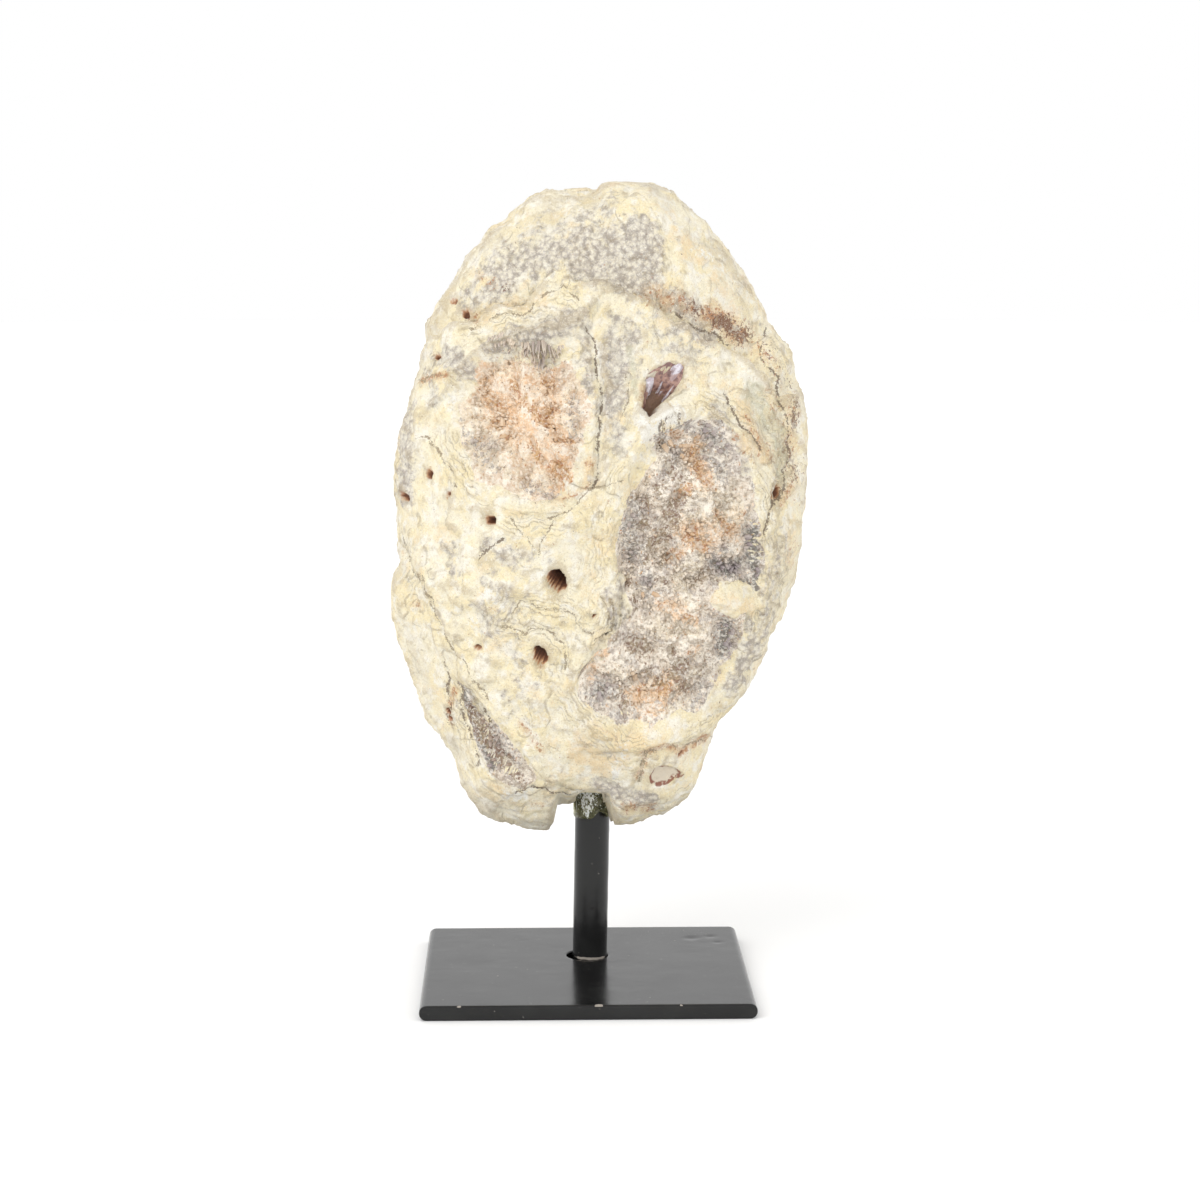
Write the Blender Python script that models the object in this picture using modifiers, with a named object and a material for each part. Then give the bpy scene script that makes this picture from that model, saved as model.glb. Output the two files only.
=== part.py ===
"""Druzy agate on a post stand: a lumpy stone with two crystal fields and an open vug, glued on a leaning rod that
stands in a flat steel plate.

Metres, +Z up, +Y away from the viewer. The origin is the middle of the plate's underside. Sizes below are in
millimetres and MM brings them to metres.
"""

import math
import random

import bmesh
import bpy
import numpy as np
from mathutils import Matrix, Vector

MM = 0.001
GAP = 0.3

PLATE_WIDTH = 110.0
PLATE_DEPTH = 100.0
PLATE_THICKNESS = 5.0
PLATE_ROLLED_EDGE = 2.4

POST_RADIUS = 6.0
POST_FOOT = (1.6, 12.0)
POST_LEAN = math.radians(1.08)
POST_BOTTOM = 0.8
POST_TOP = 80.0
POST_CHAMFER = 0.6
POST_SIDES = 40
RING_SIDES = 28

PLATE_HOLE_RADIUS = 7.2
PLATE_HOLE_SHIFT = (-0.8, 0.4)
WELD_SEAT_RADIUS = 9.2
WELD_SEAT_DEPTH = 2.0

COLLAR_SEAT_RADIUS = 9.6
COLLAR_SEAT_TOP = 63.5

# The stone's middle, and the place in front of it from which its front features are laid out.
CENTRE = np.array([4.0, 4.0, 160.0])
EYE = np.array([-18.3, -924.7, 258.7])

# The stone's outline in X and Z, anticlockwise from its right side, with its two lobes at the bottom.
OUTLINE = (
    (74, 160), (75, 174), (74, 190), (72, 200), (68, 214), (60, 226), (51, 242), (40, 257), (29, 267), (22, 270.5),
    (10, 270.7), (5, 267), (-8, 266.5), (-16, 265.5), (-24, 260), (-31, 254), (-42, 240), (-51, 227), (-55, 210),
    (-59, 196), (-63, 182), (-63, 160), (-62, 148), (-66, 137), (-65, 122), (-59, 107), (-53, 91), (-45, 76),
    (-40, 65), (-33, 57), (-22, 52.5), (-11, 51.5), (8, 53), (17, 53), (26, 55.5), (34, 61), (38, 69), (41, 80),
    (45, 90), (55, 100), (60, 112), (66, 123), (70, 136), (71.5, 148),
)
FRONT_DEPTH = 47.0
BACK_DEPTH = 45.0
ROUNDNESS = 2.2

# The channel under the stone between its lobes: its side walls in X, and its ceiling, which drops towards the back.
VALLEY_WALLS = (-10.0, 9.5)
VALLEY_CEILING = 60.0
VALLEY_FALL = 0.22

# Front features in X and Z, as they show on the upright plane through the stone's middle.
RIDGE = (
    (-58, 212), (-51, 218), (-38, 225), (-28, 231), (-21, 231), (-15, 236), (-9, 240), (-3, 236.5), (6, 236),
    (21, 232), (31, 225), (49, 217.5), (60, 208), (66, 200),
)
RIDGE_CREST = -1.5
RIDGE_FOOT = 3.5
RIDGE_STEP = 7.0
RIDGE_GROOVE = ((18, 235), (28, 231), (38, 227), (48, 222), (58, 216))
RIGHT_CLEFT = ((60, 221), (59, 212), (63, 206), (66, 198), (68, 189), (67, 170), (65, 164))
GLASSY_HOLLOW = ((54, 205), (60, 203), (66, 186), (62, 184), (56, 195))
OVERHANG = ((-42, 204), (-37, 211), (-30, 215), (-21, 218), (-8, 221), (2, 227))
LOW_LEFT_STEP = ((-60, 146), (-49, 123), (-39, 99), (-22, 75), (-9, 65))
FISSURE = ((1, 222), (4, 214), (4.5, 204), (5, 191), (4, 186), (4.5, 174), (2.5, 169))
PALE_RIB = ((7, 225), (5.5, 219), (7.5, 211), (7, 202))
WEDGE = ((-41, 99), (-25, 82), (-17, 69), (-22, 66), (-32, 71), (-36, 84))
LOW_RIGHT_SEAM = ((18, 67), (20, 78), (27, 80), (33, 78), (42, 83))
LEFT_DRUSE = (
    (-44, 202), (-36, 212), (-24, 216), (-9, 215), (-2, 208), (-1, 190), (-2, 174), (-8, 164), (-21, 164),
    (-34, 169), (-43, 183),
)
RIGHT_DRUSE = (
    (14, 171), (20, 184), (29, 191), (39, 193), (50, 185), (57, 165), (61, 140), (58, 123), (50, 106), (41, 92),
    (30, 86), (16, 84), (6, 91), (-2, 103), (5, 115), (12, 130), (9, 150),
)
# Raised and sunken places on the front: middle in X and Z, radius, and height (below 0 for a hollow).
FRONT_SWELLS = (
    (-20, 190, 15, 3.4), (-50, 190, 14, 2.0), (-22, 140, 22, 2.0), (30, 157, 13, 2.2), (47, 128, 9, 2.4),
    (26, 104, 8, -3.0), (-30, 150, 8, 1.4), (26, 62, 12, 2.0), (-26, 60, 12, 2.0), (2, 80, 14, 1.5), (14, 262, 10, 1.6),
    (33, 214, 9, 1.4),
)
# Guessed places on the back, in the same way.
BACK_SWELLS = (
    (30, 205, 26, 4.0), (-28, 170, 24, 3.5), (8, 118, 20, -4.5), (-34, 112, 16, 3.0), (42, 150, 14, -3.5),
    (-12, 232, 18, -3.0), (20, 78, 14, 3.0),
)

# Rounded knobs that cover the sides and the back, drawn from a seed: how many, their radius and their height.
KNOBS = 150
KNOB_RADIUS = (9.0, 19.0)
KNOB_HEIGHT = 3.0
KNOB_SEED = 5

# Small holes in the front: middle in X and Z, half width, half height and depth.
FRONT_HOLES = (
    (-9.5, 136.5, 3.5, 3.7, 8.0), (-15, 111, 3.2, 2.3, 5.0), (-31.5, 157, 1.9, 2.0, 3.5), (-36, 114, 2.0, 1.5, 3.0),
    (-46.5, 90.5, 1.5, 2.6, 3.0), (29, 113, 1.7, 2.4, 5.0), (-43.5, 230.5, 1.5, 1.5, 3.0),
)
# Guessed holes in the back.
BACK_HOLES = ((18, 176, 3.0, 2.6, 5.0), (-30, 138, 2.2, 2.6, 4.0), (34, 116, 2.0, 1.8, 3.5), (-6, 208, 2.4, 1.8, 4.0))

BIG_HOLE = 2.5

VUG_MIDDLE = (25.8, 200.5)
VUG_HALF = (5.0, 10.5, 9.2)
VUG_SUNK = 2.0
VUG_TILT = math.radians(28)
VUG_CRUST = 2.4
VUG_CRYSTAL = 1.5

SPHERE_LEVEL = 5
FRONT_CROWDING = 0.22
BLANK_JITTER = 0.011
FINE_BELOW = -0.95
FINE_BY_RIDGE = 5.0
RIDGE_PULL = 0.8
CRYSTAL_SHARE = 0.55
CRYSTAL_HEIGHT = (0.4, 1.7)
FRINGE_HEIGHT = 2.0
CRYSTAL_SEED = 11


def smoothstep(low, high, value):
    """0 below low, 1 above high and an S-curve between."""
    share = np.clip((value - low) / (high - low), 0.0, 1.0)
    return share * share * (3.0 - 2.0 * share)


def bell(distance, radius):
    """A smooth hump, 1 at distance 0 and nearly 0 at twice the radius."""
    return np.exp(-((distance / radius) ** 2))


def waves(points, length, seed, count=12):
    """A smooth uneven field of about -1 to 1: plane waves of one length, with ways and starts drawn from the seed."""
    draw = np.random.default_rng(seed)
    ways = draw.normal(size=(count, 3))
    ways /= np.linalg.norm(ways, axis=1, keepdims=True)
    starts = draw.uniform(0.0, 2.0 * np.pi, count)
    return np.sin(points @ ways.T * (2.0 * np.pi / length) + starts).sum(axis=1) / math.sqrt(2.0 * count)


def knobs(points):
    """Rounded lumps with creases between them: at each point, the highest of many seeded domes, in mm."""
    draw = np.random.default_rng(KNOB_SEED)
    ways = draw.normal(size=(KNOBS, 3))
    ways /= np.linalg.norm(ways, axis=1, keepdims=True)
    middles = CENTRE + body_reach(ways)[:, None] * ways
    radii = draw.uniform(*KNOB_RADIUS, KNOBS)
    gaps = np.linalg.norm(points[:, None, :] - middles, axis=2) / radii
    return KNOB_HEIGHT * (1.0 - np.minimum(gaps, 1.0) ** 2).max(axis=1)


def line_distance(line, across, up):
    """Distance of each place to a line of corners, and its side: above 0 to the left of the line's way."""
    place = np.stack([across, up], axis=-1)[:, None, :]
    corners = np.array(line, dtype=float)
    starts = corners[:-1]
    spans = corners[1:] - starts
    share = np.clip(((place - starts) * spans).sum(axis=-1) / (spans * spans).sum(axis=-1), 0.0, 1.0)
    offset = place - (starts + share[..., None] * spans)
    distance = np.linalg.norm(offset, axis=-1)
    nearest = distance.argmin(axis=1)
    row = np.arange(len(across))
    side = spans[nearest, 0] * offset[row, nearest, 1] - spans[nearest, 1] * offset[row, nearest, 0]
    return distance[row, nearest], np.sign(side)


def area_distance(outline, across, up):
    """Distance of each place to a closed outline, below 0 inside it."""
    distance, _ = line_distance(outline + outline[:1], across, up)
    corners = np.array(outline, dtype=float)
    turned = np.roll(corners, -1, axis=0)
    crosses = (corners[:, 1] > up[:, None]) != (turned[:, 1] > up[:, None])
    rise = turned[:, 1] - corners[:, 1]
    rise = np.where(rise == 0.0, 1.0, rise)
    meets = corners[:, 0] + (up[:, None] - corners[:, 1]) * (turned[:, 0] - corners[:, 0]) / rise
    inside = (crosses & (across[:, None] < meets)).sum(axis=1) % 2 == 1
    return np.where(inside, -distance, distance)


def seen(points):
    """Where points show on the upright plane through the stone's middle, looked at from EYE."""
    share = (CENTRE[1] - EYE[1]) / (points[:, 1] - EYE[1])
    return EYE[0] + (points[:, 0] - EYE[0]) * share, EYE[2] + (points[:, 2] - EYE[2]) * share


def outline_radius(angle):
    """The outline's distance from the stone's middle at each angle, its corners eased over about 3 degrees."""
    corners = np.array(OUTLINE, dtype=float) - CENTRE[[0, 2]]
    dense = np.linspace(0.0, 1.0, 40, endpoint=False)[None, :, None]
    path = (corners[:, None] * (1.0 - dense) + np.roll(corners, -1, axis=0)[:, None] * dense).reshape(-1, 2)
    path_angle = np.arctan2(path[:, 1], path[:, 0])
    order = np.argsort(path_angle)
    steps = np.radians(np.arange(-6.0, 6.5, 1.0))
    weights = bell(steps, math.radians(2.0))
    radius = np.hypot(path[order, 0], path[order, 1])
    total = sum(
        weight * np.interp(angle + step, path_angle[order], radius, period=2.0 * np.pi)
        for weight, step in zip(weights, steps)
    )
    return total / weights.sum()


def over_ridge(across, up):
    """How far each place is above the ridge, in mm."""
    ridge = np.array(RIDGE, dtype=float)
    return up - np.interp(across, ridge[:, 0], ridge[:, 1])


def front_relief(points):
    """Height of the front's ledges, grooves, rims and hollows, in mm along the line from the stone's middle."""
    across, up = seen(points)
    over = over_ridge(across, up)
    rise = -RIDGE_STEP * smoothstep(RIDGE_CREST, RIDGE_FOOT, over) * np.exp(-np.maximum(over, 0.0) / 26.0)
    rise += 1.4 * bell(over + 3.0, 3.0)
    rise -= 2.5 * bell(line_distance(RIDGE_GROOVE, across, up)[0], 2.4)

    cleft, side = line_distance(RIGHT_CLEFT, across, up)
    rise -= 3.6 * bell(cleft, 1.8)
    rise -= 1.6 * np.where(side > 0.0, 1.0, 0.0) * smoothstep(0.5, 3.0, cleft) * np.exp(-cleft / 9.0)
    rise -= 1.8 * smoothstep(1.5, -2.0, area_distance(GLASSY_HOLLOW, across, up))

    lip, side = line_distance(OVERHANG, across, up)
    rise += np.where(side > 0.0, 2.4 * np.exp(-lip / 5.0), -3.2 * smoothstep(0.0, 1.5, lip) * np.exp(-lip / 9.0))
    step, side = line_distance(LOW_LEFT_STEP, across, up)
    rise -= 4.5 * smoothstep(-1.5, 3.5, np.where(side < 0.0, step, -step)) * np.exp(-step / 22.0)

    rise -= 3.0 * bell(line_distance(FISSURE, across, up)[0], 1.4)
    rise += 1.8 * bell(line_distance(PALE_RIB, across, up)[0], 2.6)
    rise -= 4.5 * smoothstep(1.0, -3.0, area_distance(WEDGE, across, up))
    rise -= 1.8 * bell(line_distance(LOW_RIGHT_SEAM, across, up)[0], 1.6)
    rise -= 2.0 * smoothstep(1.0, -3.0, area_distance(LEFT_DRUSE, across, up))
    right = area_distance(RIGHT_DRUSE, across, up)
    rise += 1.4 * bell(right - 2.5, 2.5) - 3.4 * smoothstep(1.0, -4.0, right)
    for middle, height, radius, swell in FRONT_SWELLS:
        rise += swell * bell(np.hypot(across - middle, up - height), radius)
    return rise


def back_relief(points):
    """Height of the back's guessed swells, in mm."""
    rise = np.zeros(len(points))
    for middle, height, radius, swell in BACK_SWELLS:
        rise += swell * bell(np.hypot(points[:, 0] - middle, points[:, 2] - height), radius)
    return rise


def valley_radius(ways):
    """Distance from the middle to the channel's ceiling along each way, and how far the way is inside its walls."""
    fall = ways[:, 2] + VALLEY_FALL * ways[:, 1]
    drop = VALLEY_CEILING - VALLEY_FALL * (CENTRE[1] - POST_FOOT[1]) - CENTRE[2]
    down = fall < -0.3
    reach = np.where(down, drop / np.where(down, fall, -1.0), 1000.0)
    across = CENTRE[0] + reach * ways[:, 0]
    left, right = VALLEY_WALLS
    inside = smoothstep(left - 0.8, left + 0.8, across) * smoothstep(right + 0.8, right - 0.8, across)
    return reach, inside * down


def body_reach(ways):
    """Distance from the stone's middle to its plain body: the outline blown up to a rounded form."""
    flat = np.hypot(ways[:, 0], ways[:, 2])
    outline = outline_radius(np.arctan2(ways[:, 2], ways[:, 0]))
    depth = np.where(ways[:, 1] < 0.0, FRONT_DEPTH, BACK_DEPTH)
    body = (flat / outline) ** ROUNDNESS + (np.abs(ways[:, 1]) / depth) ** ROUNDNESS
    return body ** (-1.0 / ROUNDNESS)


def stone_points(ways):
    """The stone's surface along unit directions from its middle: the plain body with its relief."""
    reach = body_reach(ways)
    points = CENTRE + reach[:, None] * ways

    front = smoothstep(0.03, 0.30, -ways[:, 1])
    back = smoothstep(0.03, 0.30, ways[:, 1])
    reach = reach + front * front_relief(points) + back * back_relief(points)
    reach += (front + back) * 2.6 * waves(points, 60.0, 1)
    reach += (1.0 - front) * (knobs(points) - 0.6 * KNOB_HEIGHT) * (0.45 + 0.55 * back)
    reach += 1.4 * waves(points, 27.0, 2) + 0.7 * waves(points, 12.0, 3)

    ceiling, inside = valley_radius(ways)
    reach += inside * np.minimum(ceiling - reach, 0.0)
    return CENTRE + reach[:, None] * ways


def on_front(across, up, behind=False):
    """The surface point of the stone seen at a place of the middle plane, and the direction out of the stone there."""
    if behind:
        near = np.array([across, 70.0, up])
        far = np.array([across, CENTRE[1], up])
    else:
        target = np.array([across, CENTRE[1], up])
        near = EYE + (target - EYE) * ((-70.0 - EYE[1]) / (CENTRE[1] - EYE[1]))
        far = target
    ray = near + np.linspace(0.0, 1.0, 800)[:, None] * (far - near)
    offset = ray - CENTRE
    reach = np.linalg.norm(offset, axis=1)
    surface = np.linalg.norm(stone_points(offset / reach[:, None]) - CENTRE, axis=1)
    point = ray[np.argmax(reach <= surface)]
    return point, (near - far) / np.linalg.norm(near - far)


def material(name, colour, roughness, metallic=0.0):
    """A Principled material of one colour."""
    made = bpy.data.materials.new(name)
    made.use_nodes = True
    shader = made.node_tree.nodes["Principled BSDF"]
    shader.inputs["Base Color"].default_value = (*colour, 1.0)
    shader.inputs["Roughness"].default_value = roughness
    shader.inputs["Metallic"].default_value = metallic
    made.diffuse_color = (*colour, 1.0)
    return made


def new_object(name, mesh, collection, surface=None):
    """An object of a bmesh that is in millimetres, linked into a collection."""
    bmesh.ops.scale(mesh, vec=Vector((MM, MM, MM)), verts=mesh.verts)
    bmesh.ops.recalc_face_normals(mesh, faces=mesh.faces)
    data = bpy.data.meshes.new(name)
    mesh.to_mesh(data)
    mesh.free()
    if surface is not None:
        data.materials.append(surface)
    made = bpy.data.objects.new(name, data)
    collection.objects.link(made)
    return made


def cutter(name, mesh, cutters):
    """A helper solid that is only taken away from others."""
    made = new_object(name, mesh, cutters)
    made.hide_render = True
    made.display_type = "WIRE"
    return made


def cut(piece, tool):
    """Takes the tool's volume out of the piece."""
    modifier = piece.modifiers.new("cut " + tool.name, "BOOLEAN")
    modifier.operation = "DIFFERENCE"
    modifier.solver = "EXACT"
    modifier.object = tool


def smooth(piece, angle=35.0):
    """Smooth shading with the real corners kept sharp."""
    piece.data.shade_smooth()
    piece.data.set_sharp_from_angle(angle=math.radians(angle))


def cylinder(radius, bottom, top, sides=POST_SIDES):
    """A closed upright cylinder as a bmesh, on the Z axis."""
    mesh = bmesh.new()
    place = Matrix.Translation((0.0, 0.0, (bottom + top) / 2.0))
    bmesh.ops.create_cone(
        mesh, cap_ends=True, segments=sides, radius1=radius, radius2=radius, depth=top - bottom, matrix=place
    )
    return mesh


def lean(piece):
    """Stands a piece that was made on the Z axis on the post's leaning axis."""
    piece.location = (POST_FOOT[0] * MM, POST_FOOT[1] * MM, 0.0)
    piece.rotation_euler = (0.0, POST_LEAN, 0.0)


def turned_ring(name, profile, collection, surface):
    """A ring turned from a closed profile of radius and height, listed down its outer side first."""
    data = bpy.data.meshes.new(name)
    points = [(radius * MM, 0.0, height * MM) for radius, height in profile]
    edges = [(i, (i + 1) % len(points)) for i in range(len(points))]
    data.from_pydata(points, edges, [])
    data.materials.append(surface)
    made = bpy.data.objects.new(name, data)
    collection.objects.link(made)
    screw = made.modifiers.new("turn", "SCREW")
    screw.steps = RING_SIDES
    screw.render_steps = RING_SIDES
    screw.use_merge_vertices = True
    screw.merge_threshold = 0.00001
    screw.use_smooth_shade = True
    return made


def make_base_plate(parts, cutters, surface):
    """The flat steel bar: its long edges rolled round, its front and back edges sawn, and a hole for the post."""
    mesh = bmesh.new()
    size = Matrix.Diagonal((PLATE_WIDTH, PLATE_DEPTH, PLATE_THICKNESS, 1.0))
    bmesh.ops.create_cube(mesh, size=1.0, matrix=Matrix.Translation((0.0, 0.0, PLATE_THICKNESS / 2.0)) @ size)
    rolled = [e for e in mesh.edges if abs((e.verts[0].co - e.verts[1].co).y) > PLATE_DEPTH / 2.0]
    bmesh.ops.bevel(
        mesh, geom=rolled, offset=PLATE_ROLLED_EDGE, segments=7, profile=0.5, affect="EDGES", clamp_overlap=True
    )
    plate = new_object("base_plate", mesh, parts, surface)
    smooth(plate, 30.0)

    hole = cutter("plate hole", cylinder(PLATE_HOLE_RADIUS, -5.0, 12.0), cutters)
    hole.location = ((POST_FOOT[0] + PLATE_HOLE_SHIFT[0]) * MM, (POST_FOOT[1] + PLATE_HOLE_SHIFT[1]) * MM, 0.0)
    cut(plate, hole)
    seat = cutter("weld seat", cylinder(WELD_SEAT_RADIUS, -5.0, WELD_SEAT_DEPTH), cutters)
    seat.location = (POST_FOOT[0] * MM, POST_FOOT[1] * MM, 0.0)
    cut(plate, seat)
    return plate


def make_post(parts, surface):
    """The round rod, from inside the plate up into the stone's socket, with small chamfers."""
    post = new_object("post", cylinder(POST_RADIUS, POST_BOTTOM, POST_TOP), parts, surface)
    lean(post)
    bevel = post.modifiers.new("chamfer", "BEVEL")
    bevel.width = POST_CHAMFER * MM
    bevel.segments = 1
    bevel.limit_method = "ANGLE"
    smooth(post)
    return post


def make_weld(parts, surface):
    """The bead that fixes the rod in the plate from below, sunk in its seat so that the plate still lies flat."""
    inner = POST_RADIUS + GAP
    outer = WELD_SEAT_RADIUS - GAP
    top = WELD_SEAT_DEPTH - GAP
    profile = ((outer, top), (outer - 0.1, 0.9), (outer - 0.9, 0.4), (inner + 0.8, 0.4), (inner + 0.1, 0.9), (inner, top))
    weld = turned_ring("weld", profile, parts, surface)
    weld.location = (POST_FOOT[0] * MM, POST_FOOT[1] * MM, 0.0)
    return weld


def make_adhesive(parts, surface):
    """The clear collar of glue: broad where it fills the stone's seat, drawn in to the rod below."""
    inner = POST_RADIUS + GAP
    outer = COLLAR_SEAT_RADIUS - GAP
    profile = (
        (outer, COLLAR_SEAT_TOP - GAP), (outer, 60.4), (outer - 0.5, 58.6), (outer - 1.5, 56.6), (inner + 0.35, 54.2),
        (inner, 54.0), (inner, COLLAR_SEAT_TOP - GAP),
    )
    collar = turned_ring("adhesive", profile, parts, surface)
    lean(collar)
    return collar


def stone_blank():
    """A ball of triangles of radius 1, crowded towards the front, and finer along the ridge and under the stone."""
    mesh = bmesh.new()
    bmesh.ops.create_icosphere(mesh, subdivisions=SPHERE_LEVEL, radius=1.0)
    draw = random.Random(CRYSTAL_SEED - 1)
    for vert in mesh.verts:
        vert.co += Vector([draw.uniform(-BLANK_JITTER, BLANK_JITTER) for _ in range(3)])
        vert.co.normalize()
        angle = math.acos(max(-1.0, min(1.0, -vert.co.y)))
        ring = math.hypot(vert.co.x, vert.co.z)
        if ring > 1e-6:
            nearer = angle - FRONT_CROWDING * math.sin(angle)
            share = math.sin(nearer) / ring
            vert.co = Vector((vert.co.x * share, -math.cos(nearer), vert.co.z * share))
    ways = np.array([vert.co for vert in mesh.verts])
    across, up = seen(CENTRE + body_reach(ways)[:, None] * ways)
    by_ridge = (line_distance(RIDGE, across, up)[0] < FINE_BY_RIDGE) & (ways[:, 1] < -0.05)
    fine = by_ridge | (ways[:, 2] < FINE_BELOW)
    chosen = [edge for edge in mesh.edges if all(fine[vert.index] for vert in edge.verts)]
    bmesh.ops.subdivide_edges(mesh, edges=chosen, cuts=1, use_grid_fill=True)
    bmesh.ops.triangulate(mesh, faces=[f for f in mesh.faces if len(f.verts) > 3])
    return mesh


def along_ridge(ways):
    """Directions drawn on to the ridge's crest and foot where they pass near, so that both lines run clean."""
    points = CENTRE + body_reach(ways)[:, None] * ways
    across, up = seen(points)
    over = over_ridge(across, up)
    for line in (RIDGE_CREST, RIDGE_FOOT):
        near = (np.abs(over - line) < (RIDGE_FOOT - RIDGE_CREST) / 2.0) & (ways[:, 1] < -0.05)
        points[near, 2] -= RIDGE_PULL * (over - line)[near]
    drawn = points - CENTRE
    return drawn / np.linalg.norm(drawn, axis=1, keepdims=True)


def grow_crystals(mesh):
    """Raises a three-sided crystal point on most faces of the two druse fields, tall ones under the overhang."""
    mesh.normal_update()
    faces = list(mesh.faces)
    middles = np.array([face.calc_center_median() for face in faces])
    front = middles[:, 1] < CENTRE[1] - 6.0
    across, up = seen(middles)
    druse = (area_distance(LEFT_DRUSE, across, up) < -1.0) | (area_distance(RIGHT_DRUSE, across, up) < -1.0)
    lip, side = line_distance(OVERHANG, across, up)
    fringe = druse & (side < 0.0) & (lip < 8.0)
    draw = random.Random(CRYSTAL_SEED)
    for face, chosen, tall in zip(faces, druse & front, fringe):
        height = FRINGE_HEIGHT if tall else draw.uniform(*CRYSTAL_HEIGHT)
        if chosen and (tall or draw.random() < CRYSTAL_SHARE):
            bmesh.ops.poke(mesh, faces=[face], offset=height)


def add_ball(mesh, middle, half, turn=0.0, level=2):
    """Adds an egg-shaped ball to a bmesh: half sizes along X, Y and Z, turned about Y."""
    size = Matrix.Diagonal((*half, 1.0))
    place = Matrix.Translation(Vector(middle)) @ Matrix.Rotation(turn, 4, "Y") @ size
    bmesh.ops.create_icosphere(mesh, subdivisions=level, radius=1.0, matrix=place)


def pit_cutters():
    """One bmesh with an egg-shaped ball for each small hole."""
    mesh = bmesh.new()
    for behind, holes in ((False, FRONT_HOLES), (True, BACK_HOLES)):
        for across, up, wide, high, deep in holes:
            point, _ = on_front(across, up, behind)
            add_ball(mesh, point, (wide, deep, high), level=2 if wide > BIG_HOLE else 1)
    return mesh


def vug_place():
    """The middle of the open hollow, a little under the stone's surface."""
    point, out = on_front(*VUG_MIDDLE)
    return point - out * VUG_SUNK


def make_stone(parts, cutters, surface):
    """The agate: one body with its ledges, druse fields, pits, open vug, and a drilled socket for the post."""
    mesh = stone_blank()
    ways = np.array([vert.co.normalized() for vert in mesh.verts])
    points = stone_points(along_ridge(ways))
    for vert, point in zip(mesh.verts, points):
        vert.co = Vector(point)
    grow_crystals(mesh)
    stone = new_object("stone", mesh, parts, surface)

    vug = bmesh.new()
    add_ball(vug, vug_place(), VUG_HALF, VUG_TILT, level=3)
    cut(stone, cutter("vug hollow", vug, cutters))
    cut(stone, cutter("pits", pit_cutters(), cutters))
    seat = cutter("collar seat", cylinder(COLLAR_SEAT_RADIUS, 40.0, COLLAR_SEAT_TOP), cutters)
    socket = cutter("post socket", cylinder(POST_RADIUS + GAP, 40.0, POST_TOP + GAP), cutters)
    for tool in (seat, socket):
        lean(tool)
        cut(stone, tool)
    return stone


def make_vug_crystals(parts, surface):
    """The crust that lines the vug: a bowl against its wall whose hollow side is all crystal points."""
    mesh = bmesh.new()
    bmesh.ops.create_icosphere(mesh, subdivisions=3, radius=1.0)
    outer = np.array(VUG_HALF) - GAP - 0.1
    for vert in mesh.verts:
        x, y, z = vert.co
        if y < 0.15:
            rim = math.hypot(x, z)
            y = 0.15 + 0.85 * max(0.0, 1.0 - rim * rim) * (1.0 - VUG_CRUST / 5.0)
        vert.co = Vector((x * outer[0], y * outer[1], z * outer[2]))
    mesh.normal_update()
    draw = random.Random(CRYSTAL_SEED + 1)
    for face in [f for f in mesh.faces if f.normal.y < -0.2]:
        middle = face.calc_center_median()
        if math.hypot(middle.x / outer[0], middle.z / outer[2]) < 0.85:
            bmesh.ops.poke(mesh, faces=[face], offset=draw.uniform(0.3, 1.0) * VUG_CRYSTAL)
    place = Matrix.Translation(Vector(vug_place())) @ Matrix.Rotation(VUG_TILT, 4, "Y")
    bmesh.ops.transform(mesh, matrix=place, verts=mesh.verts)
    return new_object("vug_crystals", mesh, parts, surface)


def clear_scene():
    """Removes what the scene holds at the start."""
    for old in list(bpy.data.objects):
        bpy.data.objects.remove(old)


def main():
    clear_scene()
    parts = bpy.data.collections.new("druzy agate")
    cutters = bpy.data.collections.new("cutters")
    for collection in (parts, cutters):
        bpy.context.scene.collection.children.link(collection)

    agate = material("cream agate", (0.82, 0.72, 0.50), 0.75)
    amethyst = material("brown purple crystal", (0.24, 0.13, 0.12), 0.2)
    steel = material("black gloss paint on the plate", (0.02, 0.02, 0.02), 0.25)
    rod_paint = material("black gloss paint on the rod", (0.015, 0.015, 0.015), 0.3)
    resin = material("clear glue", (0.75, 0.77, 0.68), 0.15)
    weld_metal = material("weld metal", (0.10, 0.09, 0.09), 0.5, 0.8)

    make_base_plate(parts, cutters, steel)
    make_post(parts, rod_paint)
    make_weld(parts, weld_metal)
    make_adhesive(parts, resin)
    make_stone(parts, cutters, agate)
    make_vug_crystals(parts, amethyst)


main()
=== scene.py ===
"""Druzy agate on a post stand: the finish of the stone, its crystals, the glue and the painted steel.

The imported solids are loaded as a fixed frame, and each operator dresses or replaces one of them. Shapes are
worked out in millimetres in the frame's own axes (+Z up, +Y away from the viewer) and become metres when they
become meshes.
"""

import itertools
import math

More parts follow.
